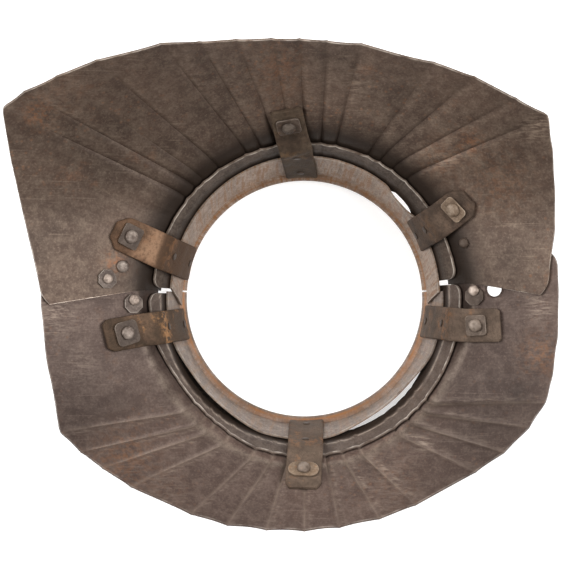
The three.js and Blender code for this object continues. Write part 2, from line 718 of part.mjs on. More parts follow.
const strapSolids = {};
for (const strap of straps) {
  const name = `${strap.half}_${strap.side}`;
  const parts = strapParts(strap);
  strapSolids[name] = parts.geometry;
  const { rivetSeat, lowSeat, highSeat } = parts;
  const washerLift = leather + seatGap + strap.washerRise * washerThickness;
  const top = washerLift + washerThickness + seatGap;
  const bottom = -rivetSeat.drop - sheet - outerGap;
  addTurned(`${name}_strap_rivet`, domedRivet(1, top, bottom), rivetSeat, finishes.fastener);
  const washer = washerGeometry(clippedSquare(strapWasher), shankRadius + seatGap, 0);
  addWasher(`${name}_strap_washer`, washer, rivetSeat, washerLift);
  const hole = drill(rivetSeat.point, rivetSeat.normal, shankRadius + seatGap, roundSides, 2 * bottom, 2 * top);
  wantHole(`${name}_strap`, hole);
  wantHole(`${strap.half}_plate`, hole);
  const half = halves[strap.half];
  const lameRivets = [
    { seat: lowSeat, lame: 'top_lame', layer: 0 },
    { seat: highSeat, lame: 'middle_lame', layer: 1 },
  ];
  for (const { seat, lame, layer } of lameRivets) {
    const outerEnd = -wallBehind(half, seat, layer) + seatGap;
    addTurned(`${name}_${lame}_rivet`, smallRivet(leather + seatGap, outerEnd), seat, finishes.fastener);
    const small = drill(seat.point, seat.normal, smallShankRadius + seatGap, smallSides, 2 * outerEnd, 2 * leather);
    wantHole(`${name}_strap`, small);
    wantHole(`${strap.half}_${lame}`, small);
  }
}

for (const rivet of plateRivets) {
  const half = halves[rivet.half];
  const seat = seatOn(half, polar(rivet.angle, rivet.reach * bendRadius));
  seat.across = new THREE.Vector3(1, 0, 0).projectOnPlane(seat.normal).normalize();
  const top = rivet.washer ? 2 * seatGap + washerThickness : seatGap;
  const bottom = rivet.flush ? -sheet : -sheet - outerGap;
  addTurned(rivet.name, domedRivet(rivet.head, top, bottom, rivet.flush), seat, finishes.fastener);
  const hole = drill(seat.point, seat.normal, shankRadius + seatGap, roundSides, -2 * sheet, 2 * sheet);
  wantHole(`${rivet.half}_plate`, hole);
  if (rivet.washer) {
    const outline = octagon(octagonRadius);
    const shift = -rivet.washerShift * octagonRadius;
    const washer = washerGeometry(outline, shankRadius + seatGap, shift);
    const place = { ...seat, point: seat.point.clone() };
    const alongSeat = seat.normal.clone().cross(seat.across).normalize();
    place.point.addScaledVector(alongSeat, -shift);
    addWasher(rivet.washer, washer, place, seatGap);
  }
}

// The pivot passes both plates and stands on its washer
const pivotSeat = seatOn(halves.back, polar(pivot.angle, pivot.reach * bendRadius));
pivotSeat.across = new THREE.Vector3(1, 0, 0).projectOnPlane(pivotSeat.normal).normalize();
const pivotBottom = -2 * sheet - lapGap - outerGap;
const pivotTop = washerThickness + 2 * seatGap;
addTurned('pivot_rivet', domedRivet(pivot.head, pivotTop, pivotBottom), pivotSeat, finishes.fastener);
addWasher('pivot_washer', washerGeometry(octagon(octagonRadius), shankRadius + seatGap, 0), pivotSeat, seatGap);
const pivotHole = drill(pivotSeat.point, pivotSeat.normal, shankRadius + seatGap, roundSides,
  2 * pivotBottom, 2 * pivotTop);
wantHole('back_plate', pivotHole);
wantHole('front_plate', pivotHole);

// The round hole for the closing stud at the right shoulder of the front plate
const studSeat = seatOn(halves.front, polar(closingHole.angle, closingHole.reach * bendRadius));
wantHole('front_plate', drill(studSeat.point, studSeat.normal, closingHoleRadius, closingHoleSides, -2 * sheet, 2 * sheet));

for (const [name, half] of Object.entries(halves)) {
  addPiece(`${name}_plate`, cut(plateSolid(half), holes[`${name}_plate`]), finishes[`${name}_plate`]);
  addPiece(`${name}_middle_lame`, cut(middleLameSolid(half), holes[`${name}_middle_lame`]), finishes.lame);
  addPiece(`${name}_top_lame`, cut(topLameSolid(half), holes[`${name}_top_lame`]), finishes.lame);
}
for (const [name, geometry] of Object.entries(strapSolids)) {
  addPiece(`${name}_strap`, cut(geometry, holes[`${name}_strap`]), finishes.leather);
}

// The origin is the centre of the outline in plan, at the level of the rim's foot
const box = new THREE.Box3().setFromObject(model, true);
const middle = box.getCenter(new THREE.Vector3());
model.position.set(-middle.x, -middle.y, -box.min.z);

const group = new THREE.Group();
group.add(model);

export default group;
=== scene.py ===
# Looks of the steel gorget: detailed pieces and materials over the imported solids
import math

import bmesh
import bpy
from mathutils import Matrix, Quaternion, Vector, noise


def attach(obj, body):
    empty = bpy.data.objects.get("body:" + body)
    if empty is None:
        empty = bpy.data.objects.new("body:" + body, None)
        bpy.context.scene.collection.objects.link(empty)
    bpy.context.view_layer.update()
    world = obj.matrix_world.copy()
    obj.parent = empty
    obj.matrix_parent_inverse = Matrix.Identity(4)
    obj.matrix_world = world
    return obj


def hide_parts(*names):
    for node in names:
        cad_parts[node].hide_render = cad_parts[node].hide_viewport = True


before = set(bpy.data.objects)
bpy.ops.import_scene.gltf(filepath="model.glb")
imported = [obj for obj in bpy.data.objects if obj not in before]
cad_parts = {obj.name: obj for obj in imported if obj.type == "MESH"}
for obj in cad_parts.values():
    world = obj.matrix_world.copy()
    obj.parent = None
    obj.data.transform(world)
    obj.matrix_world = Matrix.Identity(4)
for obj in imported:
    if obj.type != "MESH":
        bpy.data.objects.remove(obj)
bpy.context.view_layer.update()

# Main sizes in metres, as the solids have them; angles in degrees about the neck axis
neckAxis = Vector((0.0104456, -0.0063623, 0))
neckRadius = 0.065
bendRadius = 0.0875
collarHeight = 0.055
shoulderSlope = 0.4
shoulderHalfWidth = 0.035
crownHalfWidth = 0.06
sheetThickness = 0.0012
layerGap = 0.0005
lapGap = 0.0005
seatGap = 0.0003
rimHeight = 0.0044
neckRowHeight = 0.006
backSwell = 0.0044
frontSwell = 0.0016


def tableOf(columns, rows):
    return [dict(zip(columns.split(), row)) for row in rows]


# Neck wall: height as a share of collarHeight, reach as a share of the way to bendRadius
neckProfile = tableOf("height reach", [
    (0.08, 0.084), (0.18, 0.116), (0.36, 0.187), (0.58, 0.32),
    (0.73, 0.444), (0.87, 0.631), (1, 0.844), (1.2, 1.1),
])

# Lines of a plate: angle and reach at its lower edge, angle at the neck, depth of a flute there
lineColumns = "edge reach neck flute"
backLines = tableOf(lineColumns, [
    (181.2, 1.008, 176.8, 0), (179.6, 1.036, 174.5, 0), (176.1, 1.05, 171, 0), (164.7, 1.138, 160, 0),
    (154.6, 1.269, 148, 0), (147.8, 1.374, 139.6, 0.9), (143.7, 1.332, 134.6, 1), (138.1, 1.273, 130.5, 0.5),
    (131.4, 1.207, 123.5, 1), (119.6, 1.117, 112.2, 1), (112.6, 1.061, 106.5, 1), (105.1, 1.027, 100.6, 1),
    (97.6, 1.005, 95.2, 1), (91.4, 0.999, 90.4, 1), (85.4, 0.993, 84.2, 1), (77.7, 1.001, 78.6, 1),
    (61.6, 1.032, 66.2, 1), (52.8, 1.072, 61.3, 1), (43.6, 1.122, 55.9, 1), (37.1, 1.177, 49.5, 1),
    (31.3, 1.127, 42, 0), (22.9, 1.065, 32, 0), (14.9, 1.017, 22, 0), (6.8, 0.968, 12, 0),
    (3, 0.958, 8, 0), (1, 0.926, 5.7, 0),
])
frontLines = tableOf(lineColumns, [
    (173.2, 1.122, 172, 0), (175.5, 1.155, 175.5, 0), (181.3, 1.154, 182, 0), (194.8, 1.167, 203, 0),
    (208.3, 1.213, 223.4, 1), (214.1, 1.177, 229.8, 1), (219.6, 1.141, 234.1, 1), (226.7, 1.104, 240.9, 1),
    (241.8, 1.042, 251.6, 1), (250.8, 1.021, 258.3, 1), (260.3, 1, 263.5, 1), (269.7, 0.989, 269.8, 1),
    (278.5, 0.988, 277.4, 1), (288.7, 0.994, 283.7, 1), (298.3, 1.004, 290.3, 1), (314.8, 1.05, 304.5, 1),
    (322.5, 1.092, 310.6, 1), (330.3, 1.125, 315.9, 1), (336.8, 1.145, 320.2, 1), (342.4, 1.135, 330, 0),
    (351.2, 1.118, 343, 0), (362.1, 1.108, 357, 0), (369, 1.117, 367, 0), (371, 1.093, 368.5, 0),
])

# The halves: how far the plate lies below the other at the lap, its reach and the bow of its sides, how
# crease and painted shading change along it (painted light and shade across the pleats and on the neck wall, a
# painted highlight on the lap edge), and the angles where its lames begin and end
halves = {
    "back": {"lap": 0, "reach": 0.134, "lines": backLines, "sideBow": 0,
             "creaseFade": 0.15, "pleatShading": 0.22, "wallShading": (-0.6, 0), "lapHighlight": 2.2, "lipPower": 3,
             "lame": (175.7, 7.6), "rim": (176.2, 3.9), "wallFoot": (183.2, -2.4), "wallTop": (175.4, 2.8)},
    "front": {"lap": sheetThickness + lapGap, "reach": 0.12, "lines": frontLines, "sideBow": 0.004,
              "creaseFade": 0.5, "pleatShading": 0.06, "wallShading": (-0.6, 0.8), "lapHighlight": 0, "lipPower": 1,
              "lame": (177.7, 365.6), "rim": (176.9, 363.2), "wallFoot": (176.9, 363.2),
              "wallTop": (176.9, 363.2)},
}


def mix(low, high, part):
    return low + (high - low) * part


def limit(value, low=0.0, high=1.0):
    return max(low, min(high, value))


def polar(angle, reach, height=0.0):
    turn = math.radians(angle)
    return Vector((reach * math.cos(turn), reach * math.sin(turn), height))


def angleOf(place):
    return math.degrees(math.atan2(place.y, place.x))


# Height of the back plate's inside above the rim's foot, from the neck axis
def bodyHeight(x, y):
    across = abs(x)
    rounded = (across * across + crownHalfWidth ** 2) / (2 * crownHalfWidth)
    out = across if across > crownHalfWidth else rounded
    fall = max(0.0, abs(y) - shoulderHalfWidth)
    centreFall = bendRadius - shoulderHalfWidth
    curve = shoulderSlope * (bendRadius - crownHalfWidth / 2) / centreFall ** 2
    return collarHeight + shoulderSlope * (out - bendRadius) + curve * fall * fall


def bodyNormal(x, y, step=0.0005):
    alongX = (bodyHeight(x + step, y) - bodyHeight(x - step, y)) / (2 * step)
    alongY = (bodyHeight(x, y + step) - bodyHeight(x, y - step)) / (2 * step)
    return Vector((-alongX, -alongY, 1)).normalized()


# Reach of the neck wall's inside; layer 0 is the top lame, 1 the middle lame and 2 the plate
def neckReach(half, height, angle, layer):
    level = height / collarHeight
    at = 0
    while at < len(neckProfile) - 2 and level > neckProfile[at + 1]["height"]:
        at += 1
    low, high = neckProfile[at], neckProfile[at + 1]
    share = mix(low["reach"], high["reach"], (level - low["height"]) / (high["height"] - low["height"]))
    rise = limit((height - rimHeight) / (neckRowHeight - rimHeight))
    facing = math.sin(math.radians(angle))
    swell = (backSwell if facing > 0 else frontSwell) * facing * facing
    belly = math.sin(math.pi * min(1, level))
    wall = neckRadius + share * (bendRadius - neckRadius) + swell * belly
    return wall + half["lap"] * rise + layer * (sheetThickness + layerGap)


# Depth of the flutes at a neck angle, 1 on a flute's line
def fluteShare(half, angle, halfWidth=2.4):
    deepest = 0.0
    for line in half["lines"]:
        away = abs(line["neck"] - angle) / halfWidth
        if away < 1:
            deepest = max(deepest, line["flute"] * (1 - away) ** 2)
    return deepest


def lengthsOf(line):
    lengths = [0.0]
    for start, end in zip(line, line[1:]):
        lengths.append(lengths[-1] + (end - start).length)
    return lengths


def placeAlong(line, lengths, wanted):
    at = 0
    while at < len(line) - 2 and lengths[at + 1] < wanted:
        at += 1
    span = lengths[at + 1] - lengths[at]
    return line[at].lerp(line[at + 1], limit((wanted - lengths[at]) / span) if span else 0)


def meshOf(name, build):
    mesh = bpy.data.meshes.new(name)
    build.to_mesh(mesh)
    build.free()
    return mesh


# Turns the faces outward and puts the mesh into the scene
def pieceOf(mesh):
    build = bmesh.new()
    build.from_mesh(mesh)
    bmesh.ops.recalc_face_normals(build, faces=build.faces)
    if build.calc_volume(signed=True) < 0:
        bmesh.ops.reverse_faces(build, faces=build.faces)
    build.to_mesh(mesh)
    build.free()
    piece = bpy.data.objects.new(mesh.name, mesh)
    bpy.context.scene.collection.objects.link(piece)
    return piece


# A closed sheet between two faces given as columns of points. Each point has its masks for the material, edge
# is 1 on the sheet's free edges, and flow is the way along and across in metres for grain and streaks
def sheetPiece(name, inside, outside, masks):
    columns, rows = len(inside), len(inside[0])
    last, top = columns - 1, rows - 1
    faces = []

    def quad(*corners):
        faces.append([(side * columns + i) * rows + j for side, i, j in corners])

    for i in range(last):
        for j in range(top):
            quad((0, i, j), (0, i + 1, j), (0, i + 1, j + 1), (0, i, j + 1))
            quad((1, i, j), (1, i, j + 1), (1, i + 1, j + 1), (1, i + 1, j))
        quad((0, i, 0), (1, i, 0), (1, i + 1, 0), (0, i + 1, 0))
        quad((0, i, top), (0, i + 1, top), (1, i + 1, top), (1, i, top))
    for j in range(top):
        quad((0, 0, j), (0, 0, j + 1), (1, 0, j + 1), (1, 0, j))
        quad((0, last, j), (1, last, j), (1, last, j + 1), (0, last, j + 1))
    mesh = bpy.data.meshes.new(name)
    mesh.from_pydata([point + neckAxis for face in (inside, outside) for column in face for point in column],
                     [], faces)
    layers = {key: [point[key] for column in masks for point in column] for key in masks[0][0]}
    onEdge = [float(i in (0, last) or j in (0, top)) for i in range(columns) for j in range(rows)]
    layers.setdefault("edge", onEdge)
    for key, values in layers.items():
        layer = mesh.attributes.new(key, "FLOAT", "POINT")
        layer.data.foreach_set("value", values + ([0.0] * len(values) if key == "edge" else values))
    across = lengthsOf([column[rows // 2] for column in inside])
    flow = []
    for start, column in zip(across, inside):
        for along in lengthsOf(column):
            flow += [start, along, 0.0]
    layer = mesh.attributes.new("flow", "FLOAT_VECTOR", "POINT")
    layer.data.foreach_set("vector", flow + flow)
    return pieceOf(mesh)


# A normal turned towards the neck's axis, or up by rise
def facingIn(normal, point, rise):
    return -normal if normal.dot(Vector((-point.x, -point.y, rise))) < 0 else normal


def gridNormals(grid, rise):
    columns, rows = len(grid), len(grid[0])
    normals = []
    for i in range(columns):
        column = []
        for j in range(rows):
            across = grid[min(columns - 1, i + 1)][j] - grid[max(0, i - 1)][j]
            along = grid[i][min(rows - 1, j + 1)] - grid[i][max(0, j - 1)]
            column.append(facingIn(across.cross(along).normalized(), grid[i][j], rise))
        normals.append(column)
    return normals


def roundEdges(piece, width, segments, angle):
    rounding = piece.modifiers.new("rounding", "BEVEL")
    rounding.width = width
    rounding.segments = segments
    rounding.limit_method = "ANGLE"
    rounding.angle_limit = math.radians(angle)
    return piece


# Plates: bend and corner distances in metres, steps counted in rows, painted shading and highlights as shares;
# columnParts are the places of the columns between two lines
plateForm = {
    "flangeStart": 0.038, "flangeSteps": 5, "bodySteps": 34, "bendSteps": 8, "firstStep": 0.15,
    "bendIn": {"back": 0.007, "front": 0.004}, "bendOut": {"back": 0.01, "front": 0.0045},
    "edgeRow": 0.0006, "edgeColumn": 0.08, "edgeWobble": 0.0005, "wobbleScale": 1.4,
    "cornerRound": 0.0032, "cornerSamples": 3, "bowColumns": 10,
    "fluteDepth": 0.001, "fluteWidth": 0.0026, "neckFlute": 0.7, "edgeFlute": 0.3, "panelBulge": 0.0004,
    "panelRows": 6, "dent": 0.0006, "dentScale": 22, "dentRows": 12, "normalRise": 0.12,
    "creaseWidth": {"back": 0.0026, "front": 0.0015}, "ridge": 0.0024, "ridgeWidth": 0.0018,
    "ridgeHighlightShare": 0.55, "ridgeFade": 0.4, "nookShadeReach": 0.018, "nookShadePower": 1.3, "wearRows": 3.5,
    "wallRows": 3, "wallSpread": 3.2,
    "columnParts": (0, 0.05, 0.1, 0.16, 0.25, 0.4, 0.6, 0.75, 0.84, 0.9, 0.95),
}


# A point of the lower edge at a place along the lines, averaged over the length of cornerRound
def edgePlace(half, at):
    corners = [polar(line["edge"], line["reach"] * half["reach"]) for line in half["lines"]]
    lengths = lengthsOf(corners)
    index = min(int(at), len(corners) - 2)
    middle = mix(lengths[index], lengths[index + 1], at - index)
    room = min(middle, lengths[-1] - middle, plateForm["cornerRound"])
    samples = plateForm["cornerSamples"]
    around = [placeAlong(corners, lengths, middle + room * step / samples)
              for step in range(-samples, samples + 1)]
    return sum(around, Vector()) / len(around)


def plateColumns(lines):
    found = []
    for index, (line, following) in enumerate(zip(lines, lines[1:])):
        for part in plateForm["columnParts"]:
            found.append({"at": index + part, "neck": mix(line["neck"], following["neck"], part),
                          "lines": (line, following, part)})
    last = len(lines) - 1
    found.append({"at": last, "neck": lines[-1]["neck"], "lines": (lines[-2], lines[-1], 1.0)})
    step = plateForm["edgeColumn"]
    near = dict(found[0], at=step, neck=mix(lines[0]["neck"], lines[1]["neck"], step))
    far = dict(found[-1], at=last - step, neck=mix(lines[-1]["neck"], lines[-2]["neck"], step))
    return [found[0], near, *found[1:-1], far, found[-1]]


# One line of points down the flange, round the bend and out to the edge
def plateColumn(half, side, column, sideward):
    form = plateForm
    bend = polar(column["neck"], bendRadius)
    bend.z = bodyHeight(bend.x, bend.y)
    edge = edgePlace(half, column["at"])
    wobble = noise.noise(Vector((column["at"] * form["wobbleScale"], half["reach"] * 50, 0)))
    edge += edge.normalized() * form["edgeWobble"] * wobble

    def flange(part):
        height = mix(form["flangeStart"], bend.z, part)
        share = limit((height - form["flangeStart"]) / (collarHeight - form["flangeStart"]))
        reach = neckReach(half, height, column["neck"], 2) - half["lap"]
        return polar(column["neck"], mix(reach, bendRadius, share ** 3), height)

    def body(part):
        place = Vector((bend.x, bend.y, 0)).lerp(Vector((edge.x, edge.y, 0)), part)
        place.y += sideward * 4 * part * (1 - part)
        place.z = bodyHeight(place.x, place.y)
        return place

    bodyLength = (edge.xy - bend.xy).length
    cornerStart = 1 - form["bendIn"][side] / (bend - flange(0)).length
    cornerEnd = form["bendOut"][side] / bodyLength
    points = [flange(cornerStart * step / form["flangeSteps"]) for step in range(form["flangeSteps"])]
    points.insert(1, points[0].lerp(points[1], form["firstStep"]))
    start, end = flange(cornerStart), body(cornerEnd)
    for step in range(form["bendSteps"] + 1):
        part = step / form["bendSteps"]
        points.append(start.lerp(bend, part).lerp(bend.lerp(end, part), part))
    lastPart = 1 - form["edgeRow"] / bodyLength
    count = form["bodySteps"]
    return points + [body(mix(cornerEnd, lastPart, (step + 1) / count)) for step in range(count)] + [body(1)]


# Spots on the plates' inside: place from the neck axis and reach in metres, then how much lighter or darker
# the steel is painted there, mostly painted light and shade, and the shares of pale wear and of rust
spotColumns = "x y reach tone pale rusty"
spotRows = {
    "back": tableOf(spotColumns, [
        (-0.092, 0.078, 0.045, -0.16, 0, 0), (0.066, 0.083, 0.045, 0.2, 0, 0),
        (0.013, 0.104, 0.03, 0.14, 0, 0), (-0.125, 0.008, 0.026, 0.14, 0, 0),
        (-0.123, 0.05, 0.03, -0.12, 0, 0), (0.121, 0.09, 0.011, 0.1, 0.9, 0),
        (0.0276, 0.112, 0.011, 0.05, 0.5, 0), (0.0713, 0.0739, 0.013, 0.05, 0.5, 0.2),
        (-0.139, 0.096, 0.008, 0, 0.1, 0.6), (-0.126, 0.106, 0.014, 0.08, 0.3, 0.12),
        (0.087, 0.083, 0.007, 0, 0, 0.4), (-0.1007, 0.0195, 0.007, 0.1, 0.1, 0.7),
        (-0.013, 0.12, 0.014, 0, 0.1, 0.35), (-0.048, 0.069, 0.009, 0, 0.6, 0),
        (0.108, 0.02, 0.012, -0.15, 0, 0), (0.103, 0.062, 0.02, -0.08, 0.1, 0.2),
        (0.079, 0.031, 0.007, -0.6, 0, 0), (0.083, 0.014, 0.007, -0.6, 0, 0),
        (-0.079, 0.016, 0.008, -0.5, 0, 0), (-0.06, 0.052, 0.02, -0.16, 0, 0),
    ]),
    "front": tableOf(spotColumns, [
        (-0.115, -0.056, 0.042, -0.34, 0, 0), (0.103, -0.06, 0.05, -0.38, 0, 0),
        (0, -0.106, 0.06, 0.16, 0, 0), (-0.029, -0.066, 0.028, 0.14, 0, 0), (0.036, -0.075, 0.024, 0.1, 0, 0),
        (-0.131, -0.008, 0.013, 0.05, 0.8, 0), (0.1237, -0.004, 0.0085, 0.05, 0.85, 0),
        (0.124, -0.029, 0.012, 0, 0.3, 0.5), (0.062, -0.076, 0.006, 0, 0.9, 0),
        (0.1126, -0.049, 0.006, -0.25, 0, 0), (-0.095, -0.083, 0.018, 0, 0.15, 0.4),
        (-0.07, -0.1, 0.013, 0, 0.3, 0.1), (0.045, -0.096, 0.02, 0, 0.3, 0.1),
        (-0.118, -0.035, 0.012, 0, 0.35, 0), (0.0835, -0.009, 0.007, -0.5, 0, 0),
        (-0.082, -0.009, 0.007, -0.4, 0, 0),
    ]),
}


spotFall = 1.5


def spotsAt(side, point):
    found = {"tone": 0.0, "pale": 0.0, "rusty": 0.0}
    for spot in spotRows[side]:
        away = math.hypot(point.x - spot["x"], point.y - spot["y"]) / spot["reach"]
        for key in found:
            found[key] += spot[key] * math.exp(-spotFall * away * away)
    return found


def makePlate(name, side):
    form = plateForm
    half = halves[side]
    columns = plateColumns(half["lines"])
    last = len(columns) - 1
    smooth = []
    for index, column in enumerate(columns):
        sideward = half["sideBow"] * max(0.0, 1 - min(index, last - index) / form["bowColumns"])
        smooth.append(plateColumn(half, side, column, sideward))
    normals = gridNormals(smooth, form["normalRise"])
    firstBody = form["flangeSteps"] + 1
    cornerRow = firstBody + form["bendSteps"] // 2
    edgeRow = len(smooth[0]) - 1
    parts = len(form["columnParts"])
    creaseWidth = form["creaseWidth"][side]
    inside, outside, masks = [], [], []
    for i, column in enumerate(smooth):
        line, following, part = columns[i]["lines"]
        fluted = max(line["flute"], following["flute"])
        start = min(last, max(0, i - round(part * parts)))
        pitchColumn = smooth[min(last, start + parts)]
        wallShading = mix(*half["wallShading"], limit((1 - 2 * abs(i / last - 0.5)) * form["wallSpread"] / 2))

        def nearLines(pitch, width, power):
            return max(line["flute"] * limit(1 - part * pitch / width) ** power,
                       following["flute"] * limit(1 - (1 - part) * pitch / width) ** power)

        face, back, found = [], [], []
        for j, point in enumerate(column):
            pitch = (pitchColumn[j] - smooth[start][j]).length
            toEdge = limit((j - cornerRow) / (edgeRow - cornerRow))
            panel = limit((j - firstBody) / form["panelRows"])
            wall = form["neckFlute"] * point.z / collarHeight
            fade = wall if j < firstBody else mix(1, form["edgeFlute"], toEdge)
            flute = form["fluteDepth"] * limit(fade) * nearLines(pitch, form["fluteWidth"], 2)
            dented = limit((j - firstBody) / form["dentRows"])
            dent = noise.noise(point * form["dentScale"]) * dented * form["dent"]
            bulge = form["panelBulge"] * fluted * math.sin(math.pi * part) * panel
            face.append(point - normals[i][j] * (half["lap"] + flute - (dent + bulge)))
            back.append(face[j] - normals[i][j] * sheetThickness)
            spot = spotsAt(side, point)
            # Painted highlight: a pale streak just after each flute line, on the flute's lit side
            ridge = line["flute"] * limit(1 - abs(part * pitch - form["ridge"]) / form["ridgeWidth"])
            spot["pale"] += form["ridgeHighlightShare"] * ridge * panel * (1 - form["ridgeFade"] * toEdge)
            # Painted light and shade across each panel: lighter just after a flute line, darker before the next
            spot["tone"] += half["pleatShading"] * (0.5 - part) * fluted * panel
            # Painted light and shade on the neck wall: darker at the plate's ends, on the front lighter in the
            # middle
            spot["tone"] += wallShading * limit((cornerRow - j) / form["wallRows"])
            # Painted highlight along the back plate's lap edge
            if i == 0 and j > cornerRow:
                spot["tone"] += half["lapHighlight"]
            # Painted shade in the recess: the steel darkens near the bend and fades outwards
            away = (point - column[cornerRow]).length if j > cornerRow else 0.0
            found.append({"crease": nearLines(pitch, creaseWidth, 1) * (1 - half["creaseFade"] * toEdge),
                          "bend": max(0.0, 1 - abs(j - cornerRow) / form["wearRows"]),
                          "nookShade": limit(1 - away / form["nookShadeReach"]) ** form["nookShadePower"], **spot})
        inside.append(face)
        outside.append(back)
        masks.append(found)
    return sheetPiece(name, inside, outside, masks)


# Middle lames: heights in metres; line is where a painted highlight of the lame's fold runs along, and shadeTop
# where the painted shade from the lame's foot ends
lameForm = {
    "start": 0.022, "end": 0.048, "corner": 0.0057, "rows": 14, "edgeRow": 0.0006, "columnStep": 0.6,
    "firstColumn": 0.9, "wobble": 0.0003, "wobbleScale": 0.3, "line": 0.039,
    "lineWidth": {"back": 0.0025, "front": 0.0012}, "shadeTop": {"back": 0.045, "front": 0.038},
    "shadeFade": {"back": 0.012, "front": 0.002}, "fluteDrop": 0.003, "creaseShare": 0.5, "creaseHalfWidth": 1.3,
}

# Where a lame stands off its neighbour: middle angle, half width in degrees, distance in metres
lameGaps = {
    "front": {"raised": [(308, 30, 0.0057)], "lowered": [(222, 30, 0.005)],
              "drawnIn": [(308, 30, 0.0031), (225, 27, 0.0022)]},
    "back": {"raised": [(45, 9.5, 0.0075)], "lowered": [], "drawnIn": [(45, 9.5, 0.0022)]},
}


def standOff(side, kind, angle):
    found = 0.0
    for middle, halfWidth, distance in lameGaps[side][kind]:
        found += distance * (1 - limit(abs(angle - middle) / halfWidth) ** 3) ** 2
    return found


def makeMiddleLame(name, side):
    form = lameForm
    half = halves[side]
    low, high = min(half["lame"]), max(half["lame"])
    count = int((high - low) / form["columnStep"])
    edgeTurn = math.degrees(form["edgeRow"] / bendRadius)
    first, final = low + form["firstColumn"], high - form["firstColumn"]
    angles = [mix(first, final, k / count) for k in range(count + 1)]
    angles = [low, low + edgeTurn, *angles, high - edgeTurn, high]
    inside, outside, masks = [], [], []
    for angle in angles:
        fromEnd = math.radians(min(angle - low, high - angle)) * bendRadius
        missing = limit(1 - fromEnd / form["corner"])
        end = form["end"] - form["corner"] * (1 - math.sqrt(1 - missing * missing))
        wobble = noise.noise(Vector((angle * form["wobbleScale"], 3, 0)))
        end += form["wobble"] * wobble - standOff(side, "lowered", angle)
        start = form["start"] + standOff(side, "raised", angle)
        lowest, highest = start + form["edgeRow"], end - form["edgeRow"]
        heights = [mix(lowest, highest, k / form["rows"]) for k in range(form["rows"] + 1)]
        heights = [start, *heights, end]
        share = fluteShare(half, angle)
        crease = form["creaseShare"] * fluteShare(half, angle, form["creaseHalfWidth"])
        drop = form["fluteDrop"] * share
        face, back, found = [], [], []
        for height in heights:
            wall = plateForm["fluteDepth"] * plateForm["neckFlute"] * height / collarHeight
            reach = neckReach(half, height, angle, 1) + wall * share
            face.append(polar(angle, reach, height))
            back.append(polar(angle, reach + sheetThickness, height))
            # Painted highlight along the lame's fold line
            bend = limit(1 - abs(height - (form["line"] - drop)) / form["lineWidth"][side])
            # Painted shade: darker from the lame's foot beside the top lame up to shadeTop
            nookShade = limit((form["shadeTop"][side] - drop - height) / form["shadeFade"][side])
            found.append({"crease": crease, "bend": bend, "nookShade": nookShade})
        inside.append(face)
        outside.append(back)
        masks.append(found)
    return sheetPiece(name, inside, outside, masks)


# Top lames; a row of the roll has its height as a share of rimHeight, its inside as a share of turn, its
# outside as a share of bulge, and the rust in the fold
rimForm = {
    "wallHeight": 0.032, "turn": 0.0019, "bulge": 0.0022, "columns": 260, "wallRows": 14, "edgeRow": 0.0005,
    "wave": 0.0003, "waveScale": 60, "foldRust": 0.0022, "drawPower": 1.5,
    "roll": [(1.18, 1.12, 0.62, 0.6), (1.02, 1.16, 0.73, 1), (0.94, 0.72, 0.8, 0.7), (0.82, 0.3, 0.93, 0),
             (0.66, 0.06, 1, 0), (0.5, 0, 1, 0), (0.34, 0.05, 1, 0), (0.16, 0.22, 0.85, 0),
             (0.03, 0.42, 0.55, 0.1), (0, 0.5, 0.45, 0.1)],
}


def makeTopLame(name, side):
    form = rimForm
    half = halves[side]
    foot = 2 * rimHeight
    top = form["wallHeight"]
    rows = [top, top - form["edgeRow"]]
    rows += [mix(rows[1], foot, (k + 1) / form["wallRows"]) for k in range(form["wallRows"])]
    inside, outside, masks = [], [], []
    for i in range(form["columns"] + 1):
        part = i / form["columns"]
        ends = i in (0, form["columns"])
        face, back, found = [], [], []

        def add(angle, height, near, far, rust):
            face.append(polar(angle, near, height))
            back.append(polar(angle, far, height))
            found.append({"edge": 1.0 if height == top or ends else 0.0, "bend": rust})

        def addWall(angle, height, inward):
            reach = neckReach(half, height, angle, 0) - inward
            rust = limit(1 - (height - rimHeight) / form["foldRust"])
            add(angle, height, reach, reach + sheetThickness, rust)

        for height in rows:
            rise = (height - foot) / (top - foot)
            start, end = [mix(low, high, rise) for low, high in zip(half["wallFoot"], half["wallTop"])]
            angle = mix(start, end, part)
            wave = 0 if ends else abs(form["wave"] * noise.noise(polar(angle, 3, height * form["waveScale"])))
            addWall(angle, height, wave + standOff(side, "drawnIn", angle) * rise ** form["drawPower"])
        rimAngle = mix(*half["rim"], part)
        for height in (neckRowHeight * 1.2, neckRowHeight):
            addWall(rimAngle, height, 0)
        for height, turn, bulge, fold in form["roll"]:
            near = neckRadius + turn * form["turn"]
            far = neckRadius + form["turn"] + bulge * form["bulge"]
            add(rimAngle, height * rimHeight, near, far, fold ** half["lipPower"])
        inside.append(face)
        outside.append(back)
        masks.append(found)
    return sheetPiece(name, inside, outside, masks)


